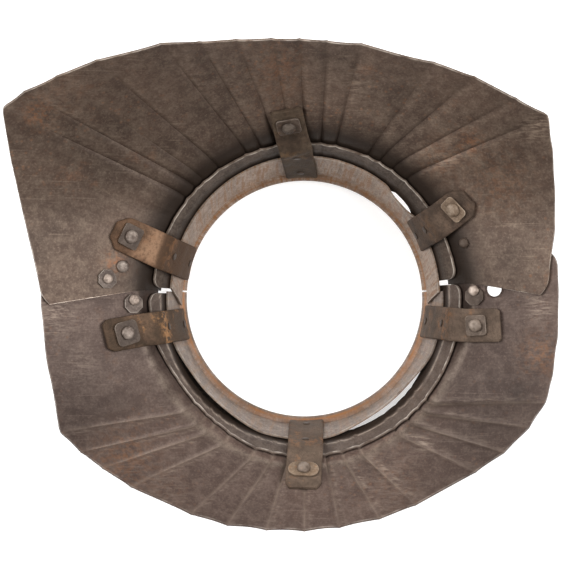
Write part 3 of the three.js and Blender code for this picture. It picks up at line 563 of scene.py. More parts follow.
# Straps: rivet and free end on the plate, angle at the neck, width, fold, foot and lower rivet as the solids
# have them; corner is how far the free end's corners are clipped
strapForm = {
    "leather": 0.0025, "width": 0.018, "overhang": 0.008, "wallHeight": 0.032, "neckGap": 0.0004,
    "highRivet": 0.041, "seatCorner": 0.2, "across": 18, "along": 0.002, "rounding": 0.0008,
    "normalRise": 0.06, "thinEdge": 0.22, "lump": 0.07, "lumpScale": 160, "foldStart": 0.001,
    "foldWear": 0.0025, "dirtStart": 0.0045, "tipReach": 0.016, "tipDirt": 0.6, "footRust": 0.005,
    "footShare": 0.7,
}
strapColumns = "half side rivet rivetReach end endReach neck width foldDrop foot lowRivet washerRise corner"
straps = tableOf(strapColumns, [
    ("back", "left", 160.5, 1.138, 160, 1.243, 163.3, 1.06, 0.4, 0.22, 0.47, 0, 0.27),
    ("back", "centre", 95.6, 1.077, 95.9, 1.16, 90.3, 0.98, 0.69, 0.22, 0.47, 0, 0.06),
    ("back", "right", 30.8, 1.073, 31.9, 1.178, 28.9, 1.03, 0.3, 0.75, 0.875, 0.38, 0.25),
    ("front", "left", 190.4, 1.115, 190.8, 1.235, 192.3, 0.98, 0.4, 0.22, 0.47, 0, 0.14),
    ("front", "centre", 269.4, 1.06, 269.3, 1.143, 271.3, 1.06, 0.69, 0.22, 0.47, 0, 0.13),
    ("front", "right", 351, 1.067, 352.4, 1.196, 348.9, 1, 0.4, 0.22, 0.47, 0, 0.08),
])


def seatOn(half, place):
    normal = bodyNormal(place.x, place.y)
    return Vector((place.x, place.y, bodyHeight(place.x, place.y))) - normal * half["lap"], normal


def onLine(start, end, reach):
    way = end - start
    a, b, c = way.dot(way), 2 * start.dot(way), start.dot(start) - reach * reach
    return start + way * ((-b - math.sqrt(b * b - 4 * a * c)) / (2 * a))


def acrossOf(start, end):
    way = end - start
    return Vector((-way.y, way.x, 0)).normalized()


# The underside of a strap at eight stations, as its width there and a function of the offset across it
def strapStations(strap, cornerShare):
    form = strapForm
    half = halves[strap["half"]]
    rivet = polar(strap["rivet"], strap["rivetReach"] * bendRadius)
    end = polar(strap["end"], strap["endReach"] * bendRadius)
    neck = polar(strap["neck"], neckRadius)
    width = strap["width"] * form["width"]
    foot = strap["foot"] * form["wallHeight"]

    def plateStation(place, share):
        def under(offset):
            point, normal = seatOn(half, place + acrossOf(end, rivet) * offset)
            return point + normal * seatGap
        return share * width, under

    def foldStation(reach):
        place = onLine(rivet, neck, reach)

        def under(offset):
            point = place + acrossOf(rivet, neck) * offset
            bend = point.normalized() * bendRadius
            level = bodyHeight(bend.x, bend.y) - half["lap"] - strap["foldDrop"] * form["overhang"]
            return Vector((point.x, point.y, level))
        return width, under

    def neckStation(reach, height):
        middle = angleOf(onLine(rivet, neck, reach))
        level = min(height, form["wallHeight"])

        def under(offset):
            angle = middle - math.degrees(offset / reach)
            swell = neckReach(half, level, angle, 0) - neckReach(half, level, middle, 0)
            return polar(angle, reach + swell, height)
        return width, under

    def lameReach(height):
        return neckReach(half, height, strap["neck"], 0) - form["neckGap"]

    squareEnd = end.lerp(rivet, cornerShare * width / (end - rivet).length)
    foldReach = bendRadius - form["overhang"]
    crest = form["wallHeight"] + form["neckGap"]
    fold = foldStation(foldReach)
    middleReach = (foldReach + lameReach(crest)) / 2 + form["neckGap"]
    return [
        plateStation(end, 1 - 2 * cornerShare),
        plateStation(squareEnd, 1),
        plateStation(onLine(rivet, neck, bendRadius + seatGap), 1),
        fold,
        neckStation(middleReach, (fold[1](0).z + crest) / 2),
        *[neckStation(lameReach(height), height) for height in (crest, (crest + foot) / 2, foot)],
    ]


# A line of points with its corners cut by a quarter
def softened(points):
    kept = [points[0]]
    for start, end in zip(points, points[1:]):
        kept += [start.lerp(end, 0.25), start.lerp(end, 0.75)]
    return kept + [points[-1]]


def resampled(line, count):
    lengths = lengthsOf(line)
    return [placeAlong(line, lengths, lengths[-1] * k / (count - 1)) for k in range(count)]


def makeStrap(name, strap):
    form = strapForm
    stations = strapStations(strap, strap["corner"])
    count = form["across"]
    under = []
    for k in range(count + 1):
        wanted = [station((k / count - 0.5) * width) for width, station in stations]
        line = []
        for start, end in zip(wanted, wanted[1:]):
            steps = max(2, int((end - start).length / form["along"]))
            line += [start.lerp(end, step / steps) for step in range(steps)]
        under.append(line + [wanted[-1]])
    length = min(len(line) for line in under)
    under = [softened(resampled(line, length)) for line in under]
    normals = gridNormals(under, form["normalRise"])
    last = len(under[0]) - 1
    foldReach = bendRadius - form["overhang"] - form["foldStart"]
    upper, masks = [], []
    for k, line in enumerate(under):
        side = abs(2 * k / count - 1)
        face, found = [], []
        for j, point in enumerate(line):
            lump = noise.noise(point * form["lumpScale"] + Vector((0, 0, strap["rivet"])))
            height = form["leather"] * (1 - form["thinEdge"] * limit(side * 8 - 7))
            face.append(point + normals[k][j] * height * (1 - form["lump"] * (1 - lump)))
            fromFold = point.xy.length - foldReach
            foot = form["footShare"] * limit(1 - (point - line[-1]).length / form["footRust"])
            dirt = form["tipDirt"] * limit(3 - 3 * (point - line[0]).length / form["tipReach"])
            inNeck = limit(0.5 - (fromFold - form["dirtStart"]) / form["foldWear"])
            found.append({"edge": limit(max(side * 7 - 6, 1 - min(j, last - j) / 2)),
                          "bend": max(foot, limit(1 - abs(fromFold) / form["foldWear"])),
                          "reach": max(dirt, inNeck)})
        upper.append(face)
        masks.append(found)
    return roundEdges(sheetPiece(name, under, upper, masks), form["rounding"], 3, 55)


# A seat on a strap's underside between two stations
def strapSeat(stations, row, part):
    def place(share):
        ends = [under(share * width) for width, under in stations[row:row + 2]]
        return ends[0].lerp(ends[1], part)

    across = (place(0.5) - place(-0.5)).normalized()
    along = (stations[row + 1][1](0) - stations[row][1](0)).normalized()
    normal = facingIn(across.cross(along).normalized(), place(0), strapForm["normalRise"])
    return {"point": place(0), "across": across, "normal": normal}


def rivetSeatOf(strap, stations):
    first, second = stations[1][1](0), stations[2][1](0)
    rivet = polar(strap["rivet"], strap["rivetReach"] * bendRadius)
    return strapSeat(stations, 1, (first.xy - rivet.xy).length / (first.xy - second.xy).length)


def neckSeatOf(stations, height):
    heights = [under(0).z for width, under in stations]
    at = 3
    while at < len(heights) - 2 and heights[at + 1] > height:
        at += 1
    return strapSeat(stations, at, (heights[at] - height) / (heights[at] - heights[at + 1]))


def placeOn(piece, seat, lift=0.0):
    sideward = seat["normal"].cross(seat["across"]).normalized()
    basis = Matrix((seat["across"], sideward, seat["normal"])).transposed().to_4x4()
    piece.data.transform(Matrix.Translation(seat["point"] + neckAxis + seat["normal"] * lift) @ basis)
    return piece


# Rivets: head and shank radius in metres; dome has the radius and height of each ring as shares, outer how
# the far head starts, and grain the scale of the dents across and up
rivetForm = {"head": 0.0035, "height": 0.0017, "shank": 0.0018, "outerHead": 0.001, "outerGap": 0.0005,
             "strapDrop": 0.0017, "sides": 40, "dent": 0.0003,
             "outer": {"face": 0.75, "chamfer": 0.95, "rise": 0.3}, "grain": (420, 520),
             "dome": [(1, 0), (1.04, 0.2), (1.03, 0.42), (0.95, 0.66), (0.8, 0.84), (0.57, 0.95),
                      (0.28, 0.99)]}
smallForm = {"head": 0.002, "height": 0.0005, "shank": 0.0012, "sides": 20, "dent": 0.0001,
             "dome": [(1, 0, 0), (0.97, 0.6, 0.5), (0.7, 1, 1)]}


# A turned piece about its own Z, from rows of radius, height and wear; rows below 0 have no dents
def turnedPiece(name, rows, form, seed):
    build = bmesh.new()
    mask = build.verts.layers.float.new("edge")
    sides, dent = form["sides"], form["dent"]
    acrossGrain, upGrain = rivetForm["grain"]
    rings = []
    for radius, height, worn in rows:
        ring = []
        for k in range(sides):
            turn = 2 * math.pi * k / sides
            place = Vector((radius * math.cos(turn), radius * math.sin(turn), height))
            lump = noise.noise(place * acrossGrain + Vector((seed, 0, 0)))
            place.xy = place.xy * (1 + dent * lump / max(radius, 0.001))
            place.z += dent * noise.noise(place * upGrain + Vector((0, seed, 0))) * (1 if worn >= 0 else 0)
            vertex = build.verts.new(place)
            vertex[mask] = max(0.0, worn)
            ring.append(vertex)
        rings.append(ring)
    for lower, upper in zip(rings, rings[1:]):
        for k in range(sides):
            build.faces.new((lower[k], lower[(k + 1) % sides], upper[(k + 1) % sides], upper[k]))
    build.faces.new(list(reversed(rings[0])))
    build.faces.new(rings[-1])
    return pieceOf(meshOf(name, build))


def domedRivet(name, head, top, bottom, seed, flush):
    form = rivetForm
    radius = head * form["head"]
    rows = [(form["shank"], bottom, -1), (form["shank"], top, -1)]
    if not flush:
        face = bottom - form["outerHead"]
        outer = form["outer"]
        rise = face + outer["rise"] * form["outerHead"]
        rows = [(outer["face"] * radius, face, -1), (outer["chamfer"] * radius, rise, -1),
                (radius, bottom, -1), *rows]
    rows += [(share * radius, top + height * head * form["height"], limit(height * 1.1 - 0.1))
             for share, height in form["dome"]]
    return turnedPiece(name, rows, form, seed)


def smallRivet(name, top, bottom, seed):
    form = smallForm
    rows = [(form["shank"], bottom, -1), (form["shank"], top, -1)]
    rows += [(share * form["head"], top + height * form["height"], worn)
             for share, height, worn in form["dome"]]
    return turnedPiece(name, rows, form, seed)


# Distance from a seat on a strap back to the outside of the lame behind it
def wallBehind(half, seat, layer):
    place = seat["point"].copy()
    depth = 0.0
    for _ in range(6):
        outside = neckReach(half, place.z, angleOf(place), layer) + sheetThickness
        depth += (outside - place.xy.length) / seat["normal"].xy.length
        place = seat["point"] - seat["normal"] * depth
    return depth


# Washers; rings has how far in each ring of points lies, as a share, and its wear
washerForm = {"thickness": 0.0012, "bevel": 0.00035, "hole": 0.0021, "dent": 0.0002, "dentScale": 300,
              "wobble": 0.04, "wobbleScale": 200, "underWear": 0.3,
              "cornerSteps": 5, "octagon": 0.0053, "holeSides": 24,
              "rings": [(0.0, 1.0), (0.12, 0.2), (0.5, 0.0), (1.0, 0.0)]}

# Fittings of each strap: size across and along the strap, corner as a share of the smaller side, looks
strapFittings = {
    "back_left": {"size": (0.0122, 0.0112), "corner": 0.14, "washer": "washer", "rivet": "rivet"},
    "back_centre": {"size": (0.0126, 0.0098), "corner": 0.2, "washer": "washer", "rivet": "dark_rivet"},
    "back_right": {"size": (0.0132, 0.0086), "corner": 0.24, "washer": "tan_washer", "rivet": "tan_washer"},
    "front_left": {"size": (0.0128, 0.0128), "corner": 0.22, "washer": "washer", "rivet": "rivet"},
    "front_centre": {"size": (0.0164, 0.0094), "corner": 0.5, "washer": "tan_washer",
                     "rivet": "brown_fitting"},
    "front_right": {"size": (0.011, 0.0112), "corner": 0.16, "washer": "brown_fitting",
                    "rivet": "brown_fitting"},
}


def roundedOutline(across, along, corner, steps):
    radius = corner * min(across, along)
    points = []
    for quarter, (x, y) in enumerate(((1, 1), (-1, 1), (-1, -1), (1, -1))):
        centre = Vector((x * (across / 2 - radius), y * (along / 2 - radius)))
        for step in range(steps + 1):
            points.append(centre + polar(90 * (quarter + step / steps), radius).xy)
    return points


# A flat washer with a hole off its centre by shift, from an outline in its own plane
def washerPiece(name, outline, shift, seed):
    form = washerForm
    build = bmesh.new()
    mask = build.verts.layers.float.new("edge")
    count = max(len(outline), form["holeSides"])
    middle = Vector((0, shift))
    outer, hole = [], []
    for k in range(count):
        at = k * len(outline) / count
        outer.append(outline[int(at)].lerp(outline[(int(at) + 1) % len(outline)], at % 1))
        hole.append(middle + (outer[k] - middle).normalized() * form["hole"])
    faces = []
    for height in (0.0, form["thickness"]):
        face = []
        for share, worn in form["rings"]:
            ring = []
            for rim, inner in zip(outer, hole):
                flat = rim.lerp(inner, share)
                lump = noise.noise(Vector((flat.x, flat.y, seed)) * form["dentScale"]) if height else 0.0
                wave = noise.noise(Vector((rim.x, rim.y, seed)) * form["wobbleScale"])
                wobble = 1 + form["wobble"] * wave * (1 - share)
                vertex = build.verts.new((flat.x * wobble, flat.y * wobble, height + form["dent"] * lump))
                vertex[mask] = worn if height else form["underWear"] * worn
                ring.append(vertex)
            face.append(ring)
        faces.append(face)
    under, upper = faces
    pairs = [(outward, inward, True) for outward, inward in zip(under, under[1:])]
    pairs += [(outward, inward, False) for outward, inward in zip(upper, upper[1:])]
    pairs += [(under[0], upper[0], False), (under[-1], upper[-1], True)]
    for first, second, flip in pairs:
        for k in range(count):
            quad = [first[k], first[(k + 1) % count], second[(k + 1) % count], second[k]]
            build.faces.new(reversed(quad) if flip else quad)
    return roundEdges(pieceOf(meshOf(name, build)), form["bevel"], 2, 50)


holeSegments = 40


# Cuts round holes with one cutter and keeps the result as the piece's mesh
def cutHoles(piece, holes):
    build = bmesh.new()
    for seat, radius, low, high in holes:
        turn = Vector((0, 0, 1)).rotation_difference(seat["normal"]).to_matrix().to_4x4()
        centre = seat["point"] + neckAxis + seat["normal"] * (low + high) / 2
        bmesh.ops.create_cone(build, cap_ends=True, segments=holeSegments, radius1=radius, radius2=radius,
                              depth=high - low, matrix=Matrix.Translation(centre) @ turn)
    cutter = bpy.data.objects.new("cutter", meshOf("cutter", build))
    bpy.context.scene.collection.objects.link(cutter)
    cutting = piece.modifiers.new("holes", "BOOLEAN")
    cutting.object = cutter
    cutting.operation = "DIFFERENCE"
    cutting.solver = "EXACT"
    bpy.context.view_layer.update()
    depsgraph = bpy.context.evaluated_depsgraph_get()
    cutMesh = bpy.data.meshes.new_from_object(piece.evaluated_get(depsgraph))
    piece.modifiers.clear()
    piece.data = cutMesh
    bpy.data.objects.remove(cutter)


# Nodes of one material or group, each in one line, with sockets or plain values as inputs
class Nodes:
    def __init__(self, tree):
        self.tree = tree

    def put(self, value, socket):
        if isinstance(value, bpy.types.NodeSocket):
            self.tree.links.new(value, socket)
        else:
            socket.default_value = value

    def setInputs(self, node, inputs):
        for name, value in inputs.items():
            self.put(value, node.inputs[name])

    def add(self, kind, inputs, **settings):
        node = self.tree.nodes.new("ShaderNode" + kind)
        for key, value in settings.items():
            setattr(node, key, value)
        self.setInputs(node, inputs)
        return node

    def objectPlace(self):
        return self.add("TexCoord", {}).outputs["Object"]

    def attribute(self, name, output="Fac"):
        return self.add("Attribute", {}, attribute_name=name).outputs[output]

    def blend(self, first, second, share, how="MIX"):
        node = self.add("Mix", {"Factor": share}, data_type="RGBA", blend_type=how)
        sockets = [socket for socket in node.inputs if socket.type == "RGBA"]
        for value, socket in zip((first, second), sockets):
            self.put(value, socket)
        return next(socket for socket in node.outputs if socket.type == "RGBA")

    def calculate(self, how, first, second, clamp=False):
        return self.add("Math", {0: first, 1: second}, operation=how, use_clamp=clamp).outputs[0]

    def times(self, first, second, clamp=False):
        return self.calculate("MULTIPLY", first, second, clamp)

    def total(self, *parts):
        found = None
        for value, share in parts:
            part = self.times(value, share)
            found = self.calculate("ADD", found, part) if found else part
        return found

    def stepped(self, value, low, high, toLow=0.0, toHigh=1.0):
        inputs = {"Value": value, "From Min": low, "From Max": high, "To Min": toLow, "To Max": toHigh}
        return self.add("MapRange", inputs, clamp=True).outputs["Result"]

    def noiseAt(self, place, scale, detail, rough):
        inputs = {"Vector": place, "Scale": scale, "Detail": detail, "Roughness": rough}
        return self.add("TexNoise", inputs).outputs["Fac"]

    def cells(self, place, scale):
        return self.add("TexVoronoi", {"Vector": place, "Scale": scale, "Randomness": 1}).outputs["Distance"]

    def mapped(self, place, scale, turn=0.0):
        inputs = {"Vector": place, "Rotation": (0, 0, turn), "Scale": scale}
        return self.add("Mapping", inputs).outputs["Vector"]


def newGroup(name, colours, numbers):
    tree = bpy.data.node_groups.new(name, "ShaderNodeTree")
    for kind, labels in (("Color", colours), ("Float", numbers)):
        for label in labels:
            tree.interface.new_socket(label, in_out="INPUT", socket_type="NodeSocket" + kind)
    return Nodes(tree), tree.nodes.new("NodeGroupInput").outputs


def finishGroup(tree, outputs):
    for label in outputs:
        kind = "NodeSocketColor" if label == "Color" else "NodeSocketFloat"
        tree.interface.new_socket(label, in_out="OUTPUT", socket_type=kind)
    result = tree.nodes.new("NodeGroupOutput")
    for label, value in outputs.items():
        tree.links.new(value, result.inputs[label])
    return tree


# Old steel: cloudy patina, hammered grain, rust specks, scratches along the sheet, edges bright with wear and a
# painted highlight, and a pale band of wear and painted highlight
def patinaGroup():
    nodes, given = newGroup("steelPatina", ("Base", "Dark", "Pale", "Rust", "Streak", "Bare And Glint", "Worn And Lit"),
                            ("Rust Amount", "Scratches", "Streaks", "Edge", "Wear And Highlight", "Metal", "Grit"))
    place = nodes.objectPlace()
    flow = nodes.attribute("flow", "Vector")
    cloud = nodes.noiseAt(place, 22, 6, 0.6)
    mottle = nodes.noiseAt(place, 170, 5, 0.65)
    grain = nodes.noiseAt(place, 1500, 3, 0.6)
    grit = nodes.noiseAt(place, 800, 3, 0.7)
    hammer = nodes.noiseAt(nodes.mapped(flow, (70, 28, 70)), 1, 3, 0.5)
    streak = nodes.noiseAt(nodes.mapped(flow, (420, 34, 100)), 1, 5, 0.6)

    specks = nodes.times(nodes.stepped(nodes.cells(place, 260), 0.3, 0.12),
                         nodes.stepped(nodes.noiseAt(place, 13, 3, 0.6), 0.5, 0.62))
    bloom = nodes.stepped(nodes.noiseAt(place, 48, 7, 0.72), 0.6, 0.74)
    rust = nodes.times(nodes.calculate("ADD", specks, bloom, True), given["Rust Amount"], True)

    line = nodes.noiseAt(nodes.mapped(place, (26, 900, 26), 0.7), 1, 2, 0.5)
    crossLine = nodes.noiseAt(nodes.mapped(place, (32, 1100, 32), -0.9), 1, 2, 0.5)
    lines = nodes.calculate("MAXIMUM", nodes.stepped(line, 0.65, 0.71), nodes.stepped(crossLine, 0.655, 0.72))
    scratchPlace = nodes.stepped(nodes.noiseAt(place, 17, 2, 0.5), 0.44, 0.58)
    scratch = nodes.times(nodes.times(lines, scratchPlace), given["Scratches"])

    broken = nodes.stepped(nodes.noiseAt(place, 150, 4, 0.6), 0.36, 0.62)
    edge = nodes.times(nodes.calculate("POWER", given["Edge"], 2.5), broken, True)
    wear = nodes.times(given["Wear And Highlight"], nodes.stepped(mottle, 0.28, 0.58), True)
    worn = nodes.calculate("MAXIMUM", edge, wear)

    body = nodes.blend(given["Dark"], given["Base"], nodes.stepped(cloud, 0.34, 0.68))
    for colour, share in (
        ("Pale", nodes.times(nodes.stepped(mottle, 0.42, 0.72), 0.55)),
        ("Streak", nodes.times(nodes.stepped(streak, 0.48, 0.6), given["Streaks"])),
        ("Dark", nodes.times(nodes.stepped(streak, 0.46, 0.34), given["Streaks"])),
        ("Rust", rust),
        # Pale band: wear and a painted highlight
        ("Pale", scratch),
        ("Worn And Lit", wear),
        ("Dark", nodes.times(nodes.stepped(grit, 0.52, 0.32), given["Grit"])),
        ("Pale", nodes.times(nodes.stepped(grit, 0.54, 0.72), given["Grit"])),
        # Bright edges: worn bare metal and a painted highlight
        ("Bare And Glint", edge),
    ):
        body = nodes.blend(body, given[colour], share)
    return finishGroup(nodes.tree, {
        "Color": body,
        "Roughness": nodes.total((nodes.stepped(grain, 0.3, 0.7, 0.44, 0.58), 1), (rust, 0.3), (worn, -0.08)),
        "Metallic": nodes.calculate("SUBTRACT", given["Metal"], nodes.times(rust, 0.6), True),
        "Height": nodes.total((hammer, 1.1), (mottle, 0.28), (streak, 0.18), (grain, 0.05), (rust, 0.12),
                              (scratch, -0.1)),
    })


# Old leather: grain, cracks across the strap, dark grease, tan where it is rubbed
def leatherGroup():
    nodes, given = newGroup("oldLeather", ("Base", "Dark", "Rubbed", "Rust"),
                            ("Rubbing", "Rust Amount", "Edge", "Fold", "Beyond", "Reach"))
    place = nodes.objectPlace()
    cloud = nodes.noiseAt(place, 120, 5, 0.62)
    fine = nodes.noiseAt(place, 620, 5, 0.7)
    pores = nodes.cells(place, 1100)
    cracks = nodes.noiseAt(nodes.mapped(nodes.attribute("flow", "Vector"), (130, 620, 130)), 1, 5, 0.7)

    away = nodes.times(given["Reach"], given["Beyond"], True)
    rubbing = nodes.times(nodes.stepped(nodes.noiseAt(place, 70, 5, 0.6), 0.4, 0.62), given["Rubbing"])
    rubbing = nodes.times(rubbing, nodes.calculate("SUBTRACT", 1.0, away))
    edge = nodes.times(given["Edge"], nodes.stepped(fine, 0.35, 0.65))
    rubbed = nodes.calculate("MAXIMUM", rubbing, nodes.times(edge, 0.55), True)
    rustPlace = nodes.stepped(nodes.noiseAt(place, 260, 6, 0.7), 0.46, 0.56)
    rustShare = nodes.calculate("ADD", given["Fold"], nodes.stepped(cloud, 0.58, 0.72))
    rust = nodes.times(nodes.times(rustPlace, rustShare), given["Rust Amount"], True)

    body = nodes.blend(given["Dark"], given["Base"], nodes.stepped(cloud, 0.38, 0.6))
    for colour, share in (
        ("Dark", nodes.times(nodes.stepped(cracks, 0.45, 0.36), 0.75)),
        ("Rubbed", rubbed),
        ("Dark", away),
        ("Rust", rust),
        ("Dark", nodes.times(nodes.stepped(fine, 0.52, 0.32), 0.6)),
    ):
        body = nodes.blend(body, given[colour], share)
    return finishGroup(nodes.tree, {
        "Color": body,
        "Roughness": nodes.stepped(cloud, 0.3, 0.7, 0.62, 0.82),
        "Height": nodes.total((fine, 0.5), (pores, 0.25), (cracks, 0.45), (cloud, 0.6)),
    })


patina = patinaGroup()
leatherSkin = leatherGroup()
print("effects made")


def newMaterial(name):
    material = bpy.data.materials.new(name)
    material.use_nodes = True
    return material, Nodes(material.node_tree), material.node_tree.nodes["Principled BSDF"]


def opaque(look):
    return {key: (*value, 1) if isinstance(value, tuple) else value for key, value in look.items()}


def dressShader(nodes, shader, skin, body, gloss, bump):
    relief = nodes.add("Bump", {"Strength": 1.0, "Distance": bump, "Height": skin.outputs["Height"]})
    nodes.setInputs(shader, {"Base Color": body, "Roughness": skin.outputs["Roughness"],
                             "Specular IOR Level": gloss, "Normal": relief.outputs["Normal"]})


# Colours are linear; crease is the colour on a flute's line (on the back plate a painted shade in the flute
# valleys), wear the share of a pale band on the bend, worn metal and a painted highlight of its crest,
# nookShade the share of painted shade in the recess beside it, edge the share of bright metal on the sheet's
# edge, worn bare and a painted highlight, and bump the grain's depth
plainSteel = {
    "Streak": (0.2, 0.16, 0.13), "Streaks": 0.0, "wear": 0.0, "crease": (0.2, 0.17, 0.15), "creaseShare": 0.0,
    "nookShade": 0.0, "edge": 0.25, "bump": 0.0005, "gloss": 0.15, "Grit": 0.5,
}
steelLooks = {
    # On the back plate the dark crease colour is painted shade in the flute valleys
    "back_plate": {
        "Base": (0.095, 0.062, 0.046), "Dark": (0.051, 0.034, 0.026), "Pale": (0.18, 0.134, 0.1),
        "Rust": (0.23, 0.095, 0.04), "Streak": (0.12, 0.085, 0.062), "crease": (0.026, 0.017, 0.0125),
        "Rust Amount": 0.3, "Scratches": 0.5, "Streaks": 0.1, "Metal": 0.3, "wear": 0.03, "creaseShare": 0.3,
        "nookShade": 0.95, "edge": 0.85,
    },
    "front_plate": {
        "Base": (0.08, 0.053, 0.043), "Dark": (0.052, 0.035, 0.029), "Pale": (0.15, 0.11, 0.09),
        "Rust": (0.2, 0.09, 0.04), "Streak": (0.11, 0.08, 0.068), "crease": (0.22, 0.17, 0.135),
        "Rust Amount": 0.22, "Scratches": 0.45, "Streaks": 0.08, "Metal": 0.3, "wear": 0.85,
        "creaseShare": 0.6, "nookShade": 0.25, "edge": 0.5,
    },
    # The back middle lame is darker than the front one: painted shade, as its walls face away from the lights
    "back_middle_lame": {
        "Base": (0.066, 0.045, 0.033), "Dark": (0.034, 0.023, 0.0165), "Pale": (0.15, 0.118, 0.095),
        "Rust": (0.11, 0.055, 0.027), "Streak": (0.1, 0.075, 0.06), "crease": (0.14, 0.11, 0.09),
        "Rust Amount": 0.15, "Scratches": 0.25, "Streaks": 0.35, "Metal": 0.1, "wear": 0.05,
        "creaseShare": 0.2, "nookShade": 0.95, "edge": 1.0, "gloss": 0.04,
    },
    "front_middle_lame": {
        "Base": (0.078, 0.053, 0.041), "Dark": (0.048, 0.033, 0.026), "Pale": (0.15, 0.115, 0.092),
        "Rust": (0.14, 0.07, 0.035), "Streak": (0.1, 0.076, 0.063), "crease": (0.36, 0.29, 0.235),
        "Rust Amount": 0.15, "Scratches": 0.25, "Streaks": 0.3, "Metal": 0.15, "wear": 1.0,
        "creaseShare": 0.1, "nookShade": 0.9, "edge": 1.0, "gloss": 0.08,
    },
    "back_top_lame": {
        "Base": (0.25, 0.182, 0.138), "Dark": (0.12, 0.078, 0.053), "Pale": (0.37, 0.31, 0.26),
        "Rust": (0.22, 0.1, 0.036), "Streak": (0.17, 0.083, 0.036), "crease": (0.21, 0.083, 0.024),
        "Rust Amount": 0.45, "Scratches": 0.2, "Streaks": 0.9, "Metal": 0.25, "creaseShare": 1.0, "edge": 0.6,
        "bump": 0.0006,
    },
    "front_top_lame": {
        "Base": (0.2, 0.155, 0.13), "Dark": (0.1, 0.073, 0.057), "Pale": (0.34, 0.28, 0.24),
        "Rust": (0.27, 0.125, 0.045), "Streak": (0.2, 0.12, 0.07), "crease": (0.25, 0.103, 0.034),
        "Rust Amount": 0.35, "Scratches": 0.2, "Streaks": 0.6, "Metal": 0.25, "creaseShare": 1.0,
        "edge": 0.85,
    },
    "rivet": {
        "Base": (0.08, 0.056, 0.044), "Dark": (0.042, 0.029, 0.023), "Pale": (0.2, 0.16, 0.135),
        "Rust": (0.17, 0.085, 0.042), "Rust Amount": 0.3, "Scratches": 0.8, "Metal": 0.3, "Grit": 0.9,
    },
    "dark_rivet": {
        "Base": (0.045, 0.032, 0.024), "Dark": (0.026, 0.018, 0.014), "Pale": (0.1, 0.076, 0.06),
        "Rust": (0.14, 0.07, 0.035), "Rust Amount": 0.3, "Scratches": 0.6, "Metal": 0.2, "edge": 0.1,
        "Grit": 0.8,
    },
    "pale_rivet": {
        "Base": (0.17, 0.128, 0.104), "Dark": (0.12, 0.09, 0.072), "Pale": (0.34, 0.27, 0.225),
        "Rust": (0.25, 0.13, 0.07), "Rust Amount": 0.35, "Scratches": 0.6, "Metal": 0.3, "edge": 0.3,
        "Grit": 0.8,
    },
    "washer": {
        "Base": (0.056, 0.038, 0.028), "Dark": (0.03, 0.02, 0.0145), "Pale": (0.1, 0.074, 0.058),
        "Rust": (0.16, 0.08, 0.04), "Rust Amount": 0.4, "Scratches": 0.4, "Metal": 0.06, "edge": 0.2,
        "bump": 0.0006,
    },
    "octagon": {
        "Base": (0.078, 0.058, 0.048), "Dark": (0.048, 0.035, 0.029), "Pale": (0.2, 0.16, 0.135),
        "Rust": (0.16, 0.08, 0.04), "Rust Amount": 0.3, "Scratches": 0.4, "Metal": 0.25, "edge": 0.8,
    },
    "brown_fitting": {
        "Base": (0.1, 0.071, 0.053), "Dark": (0.055, 0.039, 0.029), "Pale": (0.2, 0.15, 0.118),
        "Rust": (0.2, 0.1, 0.05), "Rust Amount": 0.4, "Scratches": 0.5, "Metal": 0.12,
    },
    "tan_washer": {
        "Base": (0.17, 0.115, 0.075), "Dark": (0.075, 0.05, 0.034), "Pale": (0.28, 0.21, 0.15),
        "Rust": (0.2, 0.095, 0.042), "Rust Amount": 0.5, "Scratches": 0.4, "Metal": 0.05, "bump": 0.0007,
    },
    "stud": {
        "Base": (0.055, 0.038, 0.028), "Dark": (0.036, 0.025, 0.019), "Pale": (0.06, 0.044, 0.035),
        "Rust": (0.12, 0.06, 0.03), "Rust Amount": 0.4, "Scratches": 0.2, "Metal": 0.15, "edge": 0.04,
        "bump": 0.0004, "gloss": 0.05,
    },
}
# Bright steel on the sheets' edges: worn bare metal and a painted highlight
bareAndGlintSteel = (0.42, 0.37, 0.32, 1)
# Colour of the painted shade in the recesses beside the plates' bend and low on the middle lames
nookShadeColour = (0.019, 0.0125, 0.009, 1)
paleMarkSwitch = 0.3


